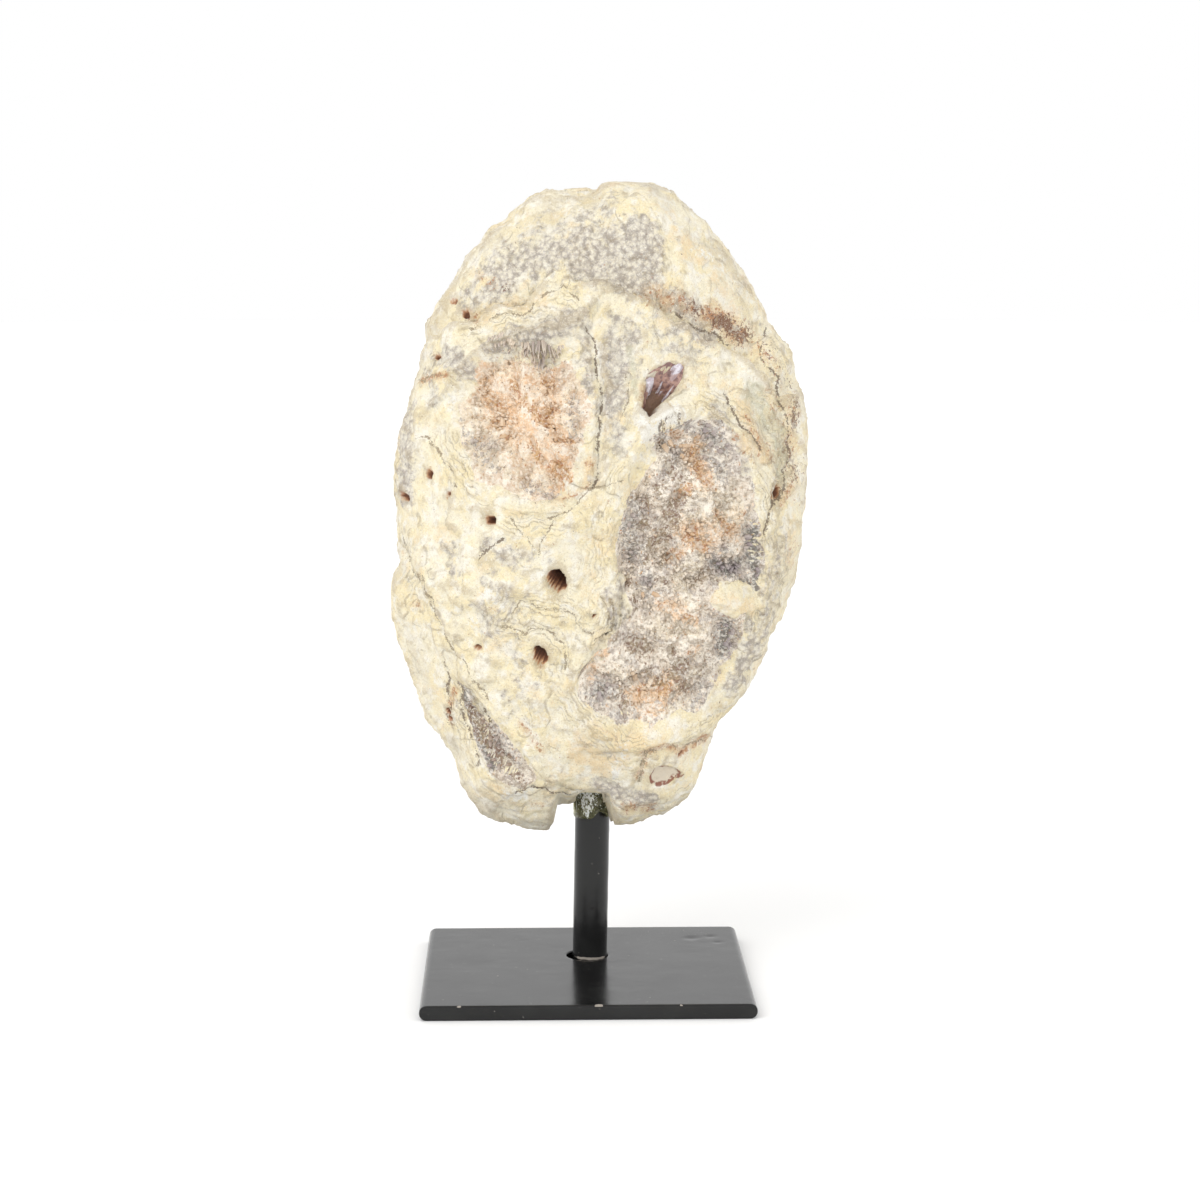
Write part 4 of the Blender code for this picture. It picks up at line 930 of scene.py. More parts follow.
def crust(name, outline, growth, count, surface, size, height, seed, ragged, feather, burst=None, sugar=False):
    """A closed finer crust over one field of the stone: a disc grid spread to past the field's outline.

    Crystals cover the growth's area up to a wandering edge, with lumps of 5 and 17 mm. Past the edge the grid
    is the stone's own crust. Round a burst's middle the crystals are drawn out like spokes. A sugary field has
    small crystals on its grey places alone. The rim dips under the stone, and a deep point closes the piece.
    """
    middle = np.array(outline, dtype=float).mean(axis=0)
    share, angle = disc_grid(count)
    reach = reach_of(outline, middle, angle, 1.0) + FIELD_OVERLAP
    ways = ways_seen_at(middle[0] + share * reach * np.cos(angle), middle[1] + share * reach * np.sin(angle))
    base, values = stone_form(ways)
    across, up = seen(base)
    east, north = across + 0.5 * grain(base, 3.0, seed), up + 0.5 * grain(base, 3.0, seed + 1)
    large, tone = crystal_heights(east, north, size, seed + 2, 1.0)
    small, tone_small = crystal_heights(north, east, size * 0.5, seed + 3, 0.9)
    marks = field_values(east, north)
    lumps = grain(base, 4.6, seed + 6, 4)
    rays = np.zeros(len(across))
    if sugar:
        grown = smoothstep(0.15, 0.6, values["grey"] + 0.7 * lumps)
        rise = grown * (0.55 * large + 0.35 * small)
        marks = {key: 0.0 * value for key, value in marks.items()}
    else:
        tongue = area_distance(TONGUE, east, north)
        far = np.maximum(area_distance(growth, across, up), 0.6 - tongue)
        edge = far + ragged * grain(base, 7.0, seed + 7, 4) + 0.4
        grown = smoothstep(0.5 * feather, -0.8 * feather, edge)
        rise = 1.4 * lumps + 0.8 * grain(base, 17.0, seed + 8, 2) - 0.9
        rise += height * (0.7 * large + 0.3 * small)
        rise += 1.5 * marks["pale"] - 1.3 * marks["umber"] - 0.7 * marks["amber"] - 0.6 * marks["dusk"]
        if burst is not None:
            away = np.hypot(across - burst[0], up - burst[1])
            spoke = np.arctan2(up - burst[1], across - burst[0])
            round_burst = np.stack([away / 5.0, 9.0 * np.cos(spoke), 9.0 * np.sin(spoke)], axis=1)
            rays = grain(round_burst, 1.0, seed + 9, 3) * smoothstep(4.0, 9.0, away)
            rise += 1.0 * rays - 0.4 * height * large
        rise = rise * grown + 1.6 * smoothstep(0.8, -2.0, tongue)
        values["crystal"] = grown
    rim = smoothstep(1.0, 0.96, share)
    rise = np.maximum(values["bed"] + rise + 0.12, 0.12) * rim - 1.6 * (1.0 - rim)
    points = base + rise[:, None] * ways
    grid = grid_faces(count + 1, count + 1)[:, ::-1]
    values.update(
        marks, tone=0.65 * tone + 0.35 * tone_small, hollow=hollows(points, grid, 9), clump=lumps, rays=rays,
        calm=np.full(len(across), 0.0 if burst is None else 1.0),
    )
    loop = rim_loop(points)
    under = points[loop] - 2.0 * ways[loop]
    deep = under.mean(axis=0) + [0.0, 3.0, 0.0]
    points, faces, values = close_disc(points, under, deep, values, grid)
    smooth = np.full(sum(len(block) for block in faces), True)
    smooth[: len(grid)] = grown[grid[:, 0]] < 0.5
    return put_mesh(name, points, faces, surface, values, smooth)


def scatter(outlines, shares, count, seed):
    """Random places inside outlines, as X and Z on the upright plane, with a share of the count for each."""
    draw = np.random.default_rng(seed)
    found = []
    for outline, share in zip(outlines, shares):
        corners = np.array(outline, dtype=float)
        tries = draw.uniform(corners.min(axis=0), corners.max(axis=0), (count * 4, 2))
        tries = tries[area_distance(outline, tries[:, 0], tries[:, 1]) < 1.0]
        found.append(tries[: int(count * share)])
    places = np.concatenate(found)
    return places[:, 0], places[:, 1]


# Finishes


class Finish:
    """A material under construction: each method adds nodes and returns an output socket."""

    def __init__(self, name):
        self.material = bpy.data.materials.new(name)
        self.material.use_nodes = True
        self.tree = self.material.node_tree
        self.shader = self.tree.nodes["Principled BSDF"]
        self.place = self.node("TexCoord", out="Object")

    def feed(self, socket, source):
        """Links a socket, or sets its value. A colour of three numbers gets its alpha."""
        if isinstance(source, bpy.types.NodeSocket):
            self.tree.links.new(source, socket)
        elif source is not None:
            whole = socket.type == "RGBA" and len(source) == 3
            socket.default_value = (*source, 1.0) if whole else source

    def node(self, kind, *sources, out=0, **settings):
        """A node with its settings, fed in order. None leaves an input as it is."""
        made = self.tree.nodes.new("ShaderNode" + kind)
        for key, value in settings.items():
            setattr(made, key, value)
        for socket, source in zip(made.inputs, sources):
            self.feed(socket, source)
        return made.outputs[out]

    def value(self, name):
        """A number stored at the mesh's points."""
        return self.node("Attribute", attribute_name=name, out="Fac")

    def math(self, operation, a, b=None, c=None):
        return self.node("Math", a, b, c, operation=operation)

    def noise(self, size, seed, detail=3.0, rough=0.6, warp=0.0):
        """Cloudy noise of 0 to 1 whose features are about size mm."""
        shift = (0.031 * seed, 0.017 * seed, -0.043 * seed)
        place = self.node("VectorMath", self.place, shift, operation="ADD")
        return self.node("TexNoise", place, None, 1.0 / (size * MM), detail, rough, 2.0, None, None, warp)

    def cells(self, size, feature="F1", out="Distance"):
        """Distances in a random cell pattern of about size mm."""
        return self.node("TexVoronoi", self.place, None, 1.0 / (size * MM), feature=feature, out=out)

    def between(self, source, low, high):
        """0 at low, 1 at high, and an S-curve between."""
        return self.node("MapRange", source, low, high, 0.0, 1.0, interpolation_type="SMOOTHSTEP")

    def spread(self, mask, size, seed, low=0.4, high=0.8, amount=2.0, detail=5.0):
        """A soft mask given a ragged edge: noise is added to it and the sum is cut between low and high."""
        ragged = self.math("MULTIPLY_ADD", self.noise(size, seed, detail, 0.65), amount, -0.5 * amount)
        return self.between(self.math("ADD", mask, ragged), low, high)

    def mix(self, share, a, b, blend="MIX"):
        settings = {"data_type": "RGBA", "blend_type": blend, "out": 2}
        return self.node("Mix", share, None, None, None, None, None, a, b, **settings)

    def lay(self, under, share, over, strength=1.0, blend="MIX"):
        """Lays a colour over another where the share is high."""
        if strength != 1.0:
            share = self.math("MULTIPLY", share, strength)
        return self.mix(share, under, over, blend)

    def bump(self, height, depth, strength=1.0, under=None):
        """A bump of the given depth in mm."""
        made = self.tree.nodes.new("ShaderNodeBump")
        fed = {"Strength": strength, "Distance": depth * MM, "Height": height, "Normal": under}
        for key, source in fed.items():
            self.feed(made.inputs[key], source)
        return made.outputs["Normal"]

    def done(self, **sockets):
        """Feeds the shader's sockets, named with underscores for spaces, and gives the material."""
        for key, source in sockets.items():
            self.feed(self.shader.inputs[key.replace("_", " ")], source)
        return self.material


def stone_finish(look):
    """Cream crust with cloudy tones, grey sugary places, rust, growth lines, cracks and dark holes."""
    f = Finish(CRUST_FINISH)
    fine = f.noise(0.8, 24, 5.0, 0.7)
    mid = f.noise(2.4, 26, 5.0, 0.65)
    hollow = f.value("hollow")
    cream = f.mix(f.between(f.noise(14, 1, 4.0), 0.4, 0.62), look.cream, look.yellow)
    cream = f.lay(cream, f.between(f.noise(9, 54, 4.0), 0.54, 0.66), shade(250, 226, 184), 0.55)
    cream = f.lay(cream, f.between(f.noise(5, 2, 5.0), 0.47, 0.62), shade(254, 249, 235), 0.9)
    cream = f.lay(cream, f.between(mid, 0.5, 0.66), shade(226, 212, 182), 0.45)
    cream = f.lay(cream, f.between(f.noise(4.4, 3, 6.0, 0.7), 0.56, 0.66), shade(222, 212, 190), 0.4)
    back = f.math("SUBTRACT", 1.0, f.value("front"))
    dull = f.math("MULTIPLY", back, f.between(f.noise(20, 4, 5.0), 0.46, 0.62))
    cream = f.lay(cream, dull, shade(205, 192, 168), 0.7)
    stained = f.math("MULTIPLY", back, f.between(f.noise(11, 5, 6.0, 0.7), 0.58, 0.68))
    cream = f.lay(cream, stained, shade(214, 172, 126), 0.6)

    orange = f.spread(f.value("orange"), 5, 6, 0.3, 0.9)
    base = f.lay(cream, orange, look.orange, 0.75)
    white = f.spread(f.value("white"), 1.6, 7, 0.4, 0.8, 2.6)
    base = f.lay(base, white, shade(255, 253, 246), 0.85)

    grey = f.spread(f.value("grey"), 3.6, 8, 0.3, 0.8, 2.4, 6.0)
    speck = f.between(fine, 0.42, 0.6)
    grey_tone = f.mix(speck, look.grey, shade(236, 227, 208))
    dots = f.cells(1.8)
    grey_tone = f.lay(grey_tone, f.between(dots, 0.45, 0.2), shade(247, 240, 222), 0.8)
    grey_tone = f.lay(grey_tone, f.between(dots, 0.48, 0.75), shade(142, 131, 126), 0.7)
    grey_tone = f.lay(grey_tone, f.between(f.noise(2.2, 10, 4.0), 0.52, 0.66), shade(170, 158, 147), 0.6)
    base = f.lay(base, grey, grey_tone, 0.9)

    fleck = f.between(f.noise(1.1, 12, 4.0, 0.75), 0.61, 0.7)
    base = f.lay(base, fleck, shade(184, 169, 142), 0.6)
    glass = f.spread(f.value("glass"), 4, 13, 0.3, 0.8, 1.2)
    base = f.lay(base, glass, shade(208, 204, 178), 0.8)

    rust = f.spread(f.value("rust"), 1.4, 14, 0.65, 0.95, 4.5, 6.0)
    base = f.lay(base, f.spread(f.value("rust"), 4, 15, 0.15, 0.9, 1.6), shade(228, 196, 152), 0.8)
    base = f.lay(base, rust, look.rust, 0.8)
    # Brown: stains, and painted shadow in the groove under the ridge.
    brown = f.spread(f.value("brown"), 1.1, 16, 0.55, 0.75, 3.6, 6.0)
    base = f.lay(base, brown, look.brown, 0.85)
    spots = f.between(f.noise(3.0, 17, 5.0, 0.75), 0.68, 0.74)
    base = f.lay(base, spots, look.rust, 0.45)

    # Growth lines: the layer distance is cut into bands, each with a thin edge line.
    phase = f.math("MULTIPLY_ADD", f.value("layers"), 0.7, f.math("MULTIPLY", f.noise(3.0, 18, 4.0), 1.6))
    saw = f.math("PINGPONG", phase, 0.5)
    gate = f.between(f.noise(5.0, 19, 3.0), 0.38, 0.56)
    lined = f.between(f.value("lined"), 0.1, 0.6)
    thin = f.math("MULTIPLY", f.between(saw, 0.2, 0.04), f.math("MULTIPLY", gate, lined))
    band = f.math("MULTIPLY", f.between(f.math("PINGPONG", phase, 1.0), 0.4, 0.6), lined)
    base = f.lay(base, band, shade(240, 224, 182), 0.45)
    base = f.lay(base, thin, look.line, 0.5)
    edge = f.between(f.math("ABSOLUTE", f.value("plates")), 0.05, 0.01)
    base = f.lay(base, f.math("MULTIPLY", edge, f.between(f.noise(5, 20, 2.0), 0.45, 0.6)), look.line, 0.5)

    # Painted shade darkens the hollows, painted highlight lightens the crests, and pale and dark grains speckle
    # it all over.
    base = f.lay(base, f.between(hollow, 0.06, 0.4), shade(196, 178, 146), 0.5)
    base = f.lay(base, f.between(hollow, -0.03, -0.25), shade(255, 249, 230), 0.4)
    base = f.lay(base, f.between(fine, 0.45, 0.33), shade(204, 186, 152), 0.45)
    salt = f.noise(0.45, 52, 2.0, 0.6)
    base = f.lay(base, f.between(salt, 0.56, 0.68), shade(255, 252, 240), 0.6)
    base = f.lay(base, f.between(salt, 0.42, 0.32), shade(194, 180, 152), 0.35)

    width = f.between(f.noise(3.2, 21, 4.0), 0.36, 0.62)
    for key, wide, tone, strength in (("seam", 0.42, look.line, 0.85), ("crack", 0.6, look.crack, 0.85)):
        near = f.between(f.value(key + "_far"), 1.4, 0.7)
        ragged = f.math("MULTIPLY_ADD", f.noise(0.7, 49, 3.0), 2.4, -1.2)
        off = f.math("ABSOLUTE", f.math("ADD", f.value(key + "_side"), ragged))
        line = f.between(f.math("DIVIDE", off, f.math("MULTIPLY_ADD", width, wide, 0.02)), 1.0, 0.5)
        base = f.lay(base, f.math("MULTIPLY", line, near), tone, strength)

    pool = f.between(f.value("pool"), 0.25, -0.15)
    base = f.lay(base, pool, shade(226, 213, 192), 0.9)
    rim = f.between(f.math("ABSOLUTE", f.value("pool")), 0.55, 0.2)
    base = f.lay(base, f.math("MULTIPLY", rim, f.between(f.noise(3, 22), 0.4, 0.5)), shade(140, 76, 52), 0.9)
    # Holes darken with their depth: rust and brown stain on their walls, and a near-black painted shade at their
    # bottoms.
    pit = f.math("ADD", f.value("hole"), f.math("MULTIPLY_ADD", f.noise(1.2, 23), 0.6, -0.3))
    base = f.lay(base, f.between(pit, 0.1, 0.55), shade(190, 128, 80), 0.85)
    base = f.lay(base, f.between(pit, 0.4, 0.75), look.brown, 0.95)
    base = f.lay(base, f.between(pit, 0.8, 1.1), shade(70, 42, 32), 0.8)
    base = f.lay(base, f.between(f.value("vug"), 0.2, -1.2), shade(130, 92, 70), 0.9)

    crystal = f.spread(f.value("crystal"), 1.3, 47, 0.35, 0.65, 1.3)
    base = f.mix(crystal, base, druse_colour(f, look))
    shine = f.math("MULTIPLY_ADD", f.math("MAXIMUM", glass, crystal), -0.32, 0.6)
    shine = f.math("MULTIPLY_ADD", f.noise(1.0, 51), 0.3, f.math("SUBTRACT", shine, 0.15))
    sugar = f.math("MULTIPLY", f.cells(1.8), f.math("MULTIPLY", grey, 0.7))
    relief = f.math("ADD", f.math("ADD", fine, f.math("MULTIPLY", mid, 1.4)), sugar)
    depth = f.math("MULTIPLY_ADD", crystal, -0.5, 0.9)
    normal = f.bump(relief, 0.75, depth)
    normal = f.bump(thin, -0.2, 0.6, normal)
    return f.done(Base_Color=base, Roughness=shine, Normal=normal, IOR=1.5)


def druse_colour(f, look):
    """Sugary quartz: lavender grey and pinkish cream, amber and umber glassy places, fuzzy pale clumps."""
    uneven = f.math("MULTIPLY_ADD", f.noise(2.2, 45, 5.0, 0.7), 4.2, -2.1)
    clump = f.math("ADD", f.value("clump"), uneven)
    fuzz = f.noise(1.0, 46, 5.0, 0.75)
    calm = f.value("calm")
    deep = f.math("MULTIPLY_ADD", calm, -0.65, 1.0)
    base = f.mix(f.between(f.noise(6, 31, 5.0), 0.44, 0.56), look.druse, shade(226, 212, 194))
    peach = f.mix(f.between(f.noise(5, 55, 4.0), 0.46, 0.56), shade(240, 216, 184), shade(232, 220, 204))
    base = f.lay(base, calm, peach, 0.75)
    base = f.lay(base, f.spread(f.value("warm"), 3, 43, 0.3, 0.65, 3.0), shade(240, 202, 162), 0.85)
    base = f.lay(base, f.spread(f.value("pale"), 2.4, 32, 0.4, 0.75, 3.0), shade(236, 223, 198), 0.75)
    base = f.lay(base, f.between(clump, 0.1, 0.55), shade(246, 237, 222), 0.78)
    base = f.lay(base, f.math("MULTIPLY", f.between(clump, -0.4, -0.8), deep), shade(144, 126, 104), 0.7)
    rays = f.value("rays")
    base = f.lay(base, f.between(rays, 0.05, 0.4), shade(248, 232, 208), 0.5)
    base = f.lay(base, f.between(rays, -0.05, -0.4), shade(206, 174, 142), 0.55)
    speck = f.between(f.noise(0.9, 34, 4.0, 0.7), 0.45, 0.56)
    dusky = f.mix(speck, shade(196, 190, 184), shade(134, 126, 122))
    base = f.lay(base, f.spread(f.value("dusk"), 1.3, 33, 0.45, 0.7, 4.0, 6.0), dusky, 0.8)
    base = f.lay(base, f.spread(f.value("dusk"), 1.2, 48, 1.0, 1.2, 3.5, 6.0), shade(100, 98, 92), 0.8)
    base = f.lay(base, f.spread(f.value("amber"), 3, 37, 0.3, 0.7, 3.0), shade(230, 196, 156), 0.6)
    stain = f.mix(f.between(f.noise(1.5, 38), 0.44, 0.56), shade(198, 156, 104), shade(176, 116, 72))
    base = f.lay(base, f.spread(f.value("amber"), 1.2, 36, 0.5, 0.65, 4.5, 6.0), stain, 0.85)
    glassy = f.mix(f.between(f.noise(1.8, 40), 0.44, 0.56), shade(148, 128, 98), shade(112, 78, 56))
    base = f.lay(base, f.spread(f.value("umber"), 1.2, 39, 0.5, 0.65, 4.5, 6.0), glassy, 0.85)
    # Painted highlight on the crests, and painted shade in the hollows, weaker on a field with a burst.
    base = f.lay(base, f.between(f.value("hollow"), -0.03, -0.25), shade(251, 243, 228), 0.55)
    sunken = f.math("MULTIPLY", f.between(f.value("hollow"), 0.05, 0.3), deep)
    base = f.lay(base, sunken, shade(132, 114, 94), 0.6)
    base = f.lay(base, f.between(fuzz, 0.52, 0.6), shade(251, 245, 233), 0.6)
    return f.lay(base, f.math("MULTIPLY", f.between(fuzz, 0.47, 0.39), deep), shade(140, 124, 106), 0.5)


def crystal_finish(look):
    """Clear to milky quartz points, tinted where they grow on amber, umber or dusky places."""
    f = Finish("quartz points")
    base = f.mix(f.value("tone"), shade(230, 217, 198), shade(180, 168, 152))
    base = f.lay(base, f.value("warm"), shade(232, 202, 170), 0.6)
    base = f.lay(base, f.value("dusk"), shade(148, 136, 138), 0.8)
    base = f.lay(base, f.value("amber"), look.amber, 0.7)
    base = f.lay(base, f.value("umber"), shade(140, 112, 88), 0.7)
    base = f.lay(base, f.value("tip"), shade(248, 240, 226), 0.2)
    return f.done(Base_Color=base, Roughness=0.2, IOR=1.55, Normal=f.bump(f.noise(0.6, 1), 0.05, 0.4))


def vug_finish(look):
    """Purple brown crystals, with blue white lobes of chalcedony near the rim."""
    f = Finish("vug lining")
    base = f.mix(f.between(f.noise(1.6, 1, 4.0), 0.38, 0.6), look.purple, colour(178, 142, 128))
    base = f.lay(base, f.between(f.value("tone"), 0.55, 1.0), colour(196, 174, 176), 0.7)
    base = f.lay(base, f.between(f.value("relief"), 0.2, 0.8), colour(186, 160, 160), 0.5)
    lobe = f.between(f.value("lobe"), 0.25, 0.6)
    milky = f.mix(f.between(f.noise(2, 2), 0.4, 0.6), colour(226, 222, 230), colour(184, 172, 178))
    base = f.lay(base, lobe, milky)
    return f.done(Base_Color=base, Roughness=0.12, IOR=1.55, Normal=f.bump(f.noise(0.7, 3), 0.06, 0.5))


def glue_finish(look):
    """See-through glue, pale olive, with a frosted crazed patch in front."""
    f = Finish("clear glue")
    frost = f.spread(f.value("frost"), 0.9, 1, 0.5, 0.6, 2.8, 2.0)
    craze = f.between(f.cells(1.1, "DISTANCE_TO_EDGE"), 0.12, 0.02)
    base = f.mix(f.math("MAXIMUM", frost, f.math("MULTIPLY", craze, 0.4)), look.glue, colour(250, 252, 250))
    clear = f.math("MULTIPLY_ADD", frost, -0.8, 0.85)
    rough = f.math("MULTIPLY_ADD", frost, 0.5, 0.08)
    normal = f.bump(f.noise(0.8, 3, 4.0), 0.12, 0.6)
    return f.done(Base_Color=base, Transmission_Weight=clear, Roughness=rough, IOR=1.48, Normal=normal)


def paint_finish(look, name, seed):
    """Black gloss paint over steel: soft orange peel, dust, fine scratches and chipped specks."""
    f = Finish(name)
    worn = f.value("worn")
    dust = f.between(f.noise(1.3, seed, 2.0, 0.5), 0.735, 0.76)
    chips = f.spread(worn, 1.2, seed + 1, 0.5, 0.6, 0.8)
    base = f.mix(f.between(f.noise(25, seed + 2, 3.0), 0.4, 0.65), look.paint, colour(22, 23, 22))
    base = f.lay(base, dust, colour(150, 148, 140), 0.5)
    base = f.lay(base, chips, colour(168, 160, 150), 0.8)
    haze = f.math("MULTIPLY_ADD", f.noise(14, seed + 3, 4.0), 0.16, 0.12)
    rough = f.math("MULTIPLY_ADD", f.math("MAXIMUM", dust, chips), 0.4, haze)
    normal = f.bump(f.noise(3.5, seed + 4, 2.0), 0.03, 0.6)
    normal = f.bump(f.between(f.noise(0.9, seed + 5, 2.0), 0.7, 0.78), 0.05, 0.8, normal)
    return f.done(Base_Color=base, Roughness=rough, Normal=normal, IOR=1.46)


def weld_finish():
    """Dark heat-tinted weld metal."""
    f = Finish("weld metal")
    base = f.mix(f.noise(2.0, 1, 4.0), colour(70, 66, 66), colour(120, 104, 92))
    rough = f.math("MULTIPLY_ADD", f.noise(1.5, 2), 0.3, 0.3)
    return f.done(Base_Color=base, Metallic=0.8, Roughness=rough, Normal=f.bump(f.noise(0.8, 3), 0.1))


def floor_finish():
    """Plain pale floor."""
    f = Finish("pale floor")
    base = f.mix(f.noise(400, 1), (0.93, 0.93, 0.93), (0.95, 0.95, 0.95))
    return f.done(Base_Color=base, Roughness=0.9)


# Properties and operators


def tint(name, description, value):
    """A colour property."""
    return bpy.props.FloatVectorProperty(
        name=name, description=description, default=value, subtype="COLOR", size=3, min=0.0, max=1.0
    )


class AgateLook(bpy.types.PropertyGroup):
    """Colours of the stone, the crystals, the glue and the paint."""

    cream: tint("Cream", "Main colour of the crust", shade(252, 243, 216))
    yellow: tint("Yellow", "Warm cloudy parts of the crust", shade(251, 236, 194))
    orange: tint("Orange", "Orange cream parts of the crust", shade(245, 218, 172))
    grey: tint("Grey", "Sugary grey places", shade(200, 192, 186))
    druse: tint("Druse", "Ground of the crystal fields", shade(192, 181, 171))
    rust: tint("Rust", "Iron stain", shade(182, 122, 80))
    # Brown also paints the shadow in the groove under the ridge.
    brown: tint("Brown", "Darkest stain, inside the holes", shade(112, 70, 48))
    line: tint("Line", "Growth lines", shade(158, 141, 115))
    crack: tint("Crack", "Cracks between the crust's layers", shade(118, 100, 82))
    amber: tint("Amber", "Glassy amber spots", shade(200, 156, 104))
    purple: tint("Purple", "Crystals in the open hollow", shade(126, 96, 92))
    glue: tint("Glue", "Body of the glue", colour(196, 194, 142))
    paint: tint("Paint", "Gloss paint of the stand", colour(8, 8, 8))


class AgateSizes(bpy.types.PropertyGroup):
    """Sizes of the fine surfaces."""

    stone_grid: bpy.props.IntProperty(
        name="Stone grid", description="Cells along the stone's square grid", default=312, min=40, max=314
    )
    crust_grid: bpy.props.IntProperty(
        name="Crust grid", description="Cells across the largest crystal field", default=300, min=40, max=310
    )
    crystal: bpy.props.FloatProperty(
        name="Crystal", description="Width of a crystal in the fields, in mm", default=1.5, min=0.5, max=6.0
    )
    points: bpy.props.IntProperty(
        name="Points", description="Single crystals tried in the fields", default=2600, min=10, max=5000
    )
    plate_edge: bpy.props.FloatProperty(
        name="Rolled edge", description="Radius of the plate's edges, in mm", default=2.4, min=0.5, max=2.5
    )


def replace(node):
    """Hides the solid that a piece stands in for."""
    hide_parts(node)


def crust_surface(look):
    """The stone's finish, made once and shared by its pieces."""
    return bpy.data.materials.get(CRUST_FINISH) or stone_finish(look)


class AGATE_OT_stage(bpy.types.Operator):
    """Camera, pale floor and soft lights"""

    bl_idname = "agate.stage"
    bl_label = "Stage"

    def execute(self, context):
        scene = context.scene
        camera = bpy.data.objects.new("camera", bpy.data.cameras.new("camera"))
        camera.location = EYE * MM
        camera.rotation_euler = (math.pi / 2.0 - CAMERA_PITCH, 0.0, -CAMERA_YAW)
        camera.data.lens = CAMERA_LENS
        camera.data.sensor_width = 36.0
        scene.collection.objects.link(camera)
        scene.camera = camera

        angle = np.linspace(0.0, 2.0 * np.pi, 97)[:-1]
        rim = np.stack([6000.0 * np.cos(angle), 6000.0 * np.sin(angle), np.full(96, -0.02)], axis=1)
        points = np.concatenate([rim, [[0.0, 0.0, -0.02]]])
        fan = np.stack([np.arange(96), (np.arange(96) + 1) % 96, np.full(96, 96)], axis=1)
        data = bpy.data.meshes.new("floor")
        data.from_pydata(points * MM, [], fan)
        data.materials.append(floor_finish())
        floor = bpy.data.objects.new("floor", data)
        scene.collection.objects.link(floor)

        for name, place, wide, strength in (
            ("key light", (-0.55, -0.75, 0.75), 50.0, 1.15), ("fill light", (0.9, -0.5, 0.3), 70.0, 0.3),
        ):
            light = bpy.data.lights.new(name, "SUN")
            light.angle = math.radians(wide)
            light.energy = strength
            lamp = bpy.data.objects.new(name, light)
            flat = math.hypot(place[0], place[1])
            lamp.rotation_euler = (math.atan2(flat, place[2]), 0.0, math.atan2(place[0], -place[1]))
            lamp.visible_glossy = False
            scene.collection.objects.link(lamp)

        world = bpy.data.worlds.new("white room")
        world.use_nodes = True
        world.node_tree.nodes["Background"].inputs["Color"].default_value = (1.0, 1.0, 1.0, 1.0)
        world.node_tree.nodes["Background"].inputs["Strength"].default_value = 1.0
        scene.world = world
        scene.view_settings.view_transform = "Standard"
        return {"FINISHED"}


class AGATE_OT_stone(bpy.types.Operator):
    """The stone's crust, closed all round, in place of its solid"""

    bl_idname = "agate.stone"
    bl_label = "Stone"

    def execute(self, context):
        ways, faces = ball_grid(context.scene.agate_sizes.stone_grid)
        points, values = stone_form(ways)
        upright = points - [POST_FOOT[0], POST_FOOT[1], 0.0]
        upright[:, 0] -= upright[:, 2] * math.tan(POST_LEAN)
        axis_gap = np.hypot(upright[:, 0], upright[:, 1])
        middle, half_wide, low, start, climb = NOTCH
        beside = upright[:, 0] - middle + 0.5 * grain(points, 4.0, 97)
        lip = (upright[:, 1] < 0.0) & (np.abs(beside) < half_wide)
        lip_level = np.where(lip, low + climb * np.maximum(-upright[:, 1] - start, 0.0), -1.0)
        for radius, top in HELD_CLEAR:
            level = np.where(axis_gap < radius, top, lip_level)
            held = points[:, 2] < level
            scale = (level[held] - CENTRE[2]) / (points[held, 2] - CENTRE[2])
            points[held] = CENTRE + scale[:, None] * (points[held] - CENTRE)
        values["hollow"] = hollows(points, faces[:, ::-1], 5)
        stone = put_mesh("agate_crust", points, [faces], crust_surface(context.scene.agate_look), values)
        replace("stone")
        return {"FINISHED"}


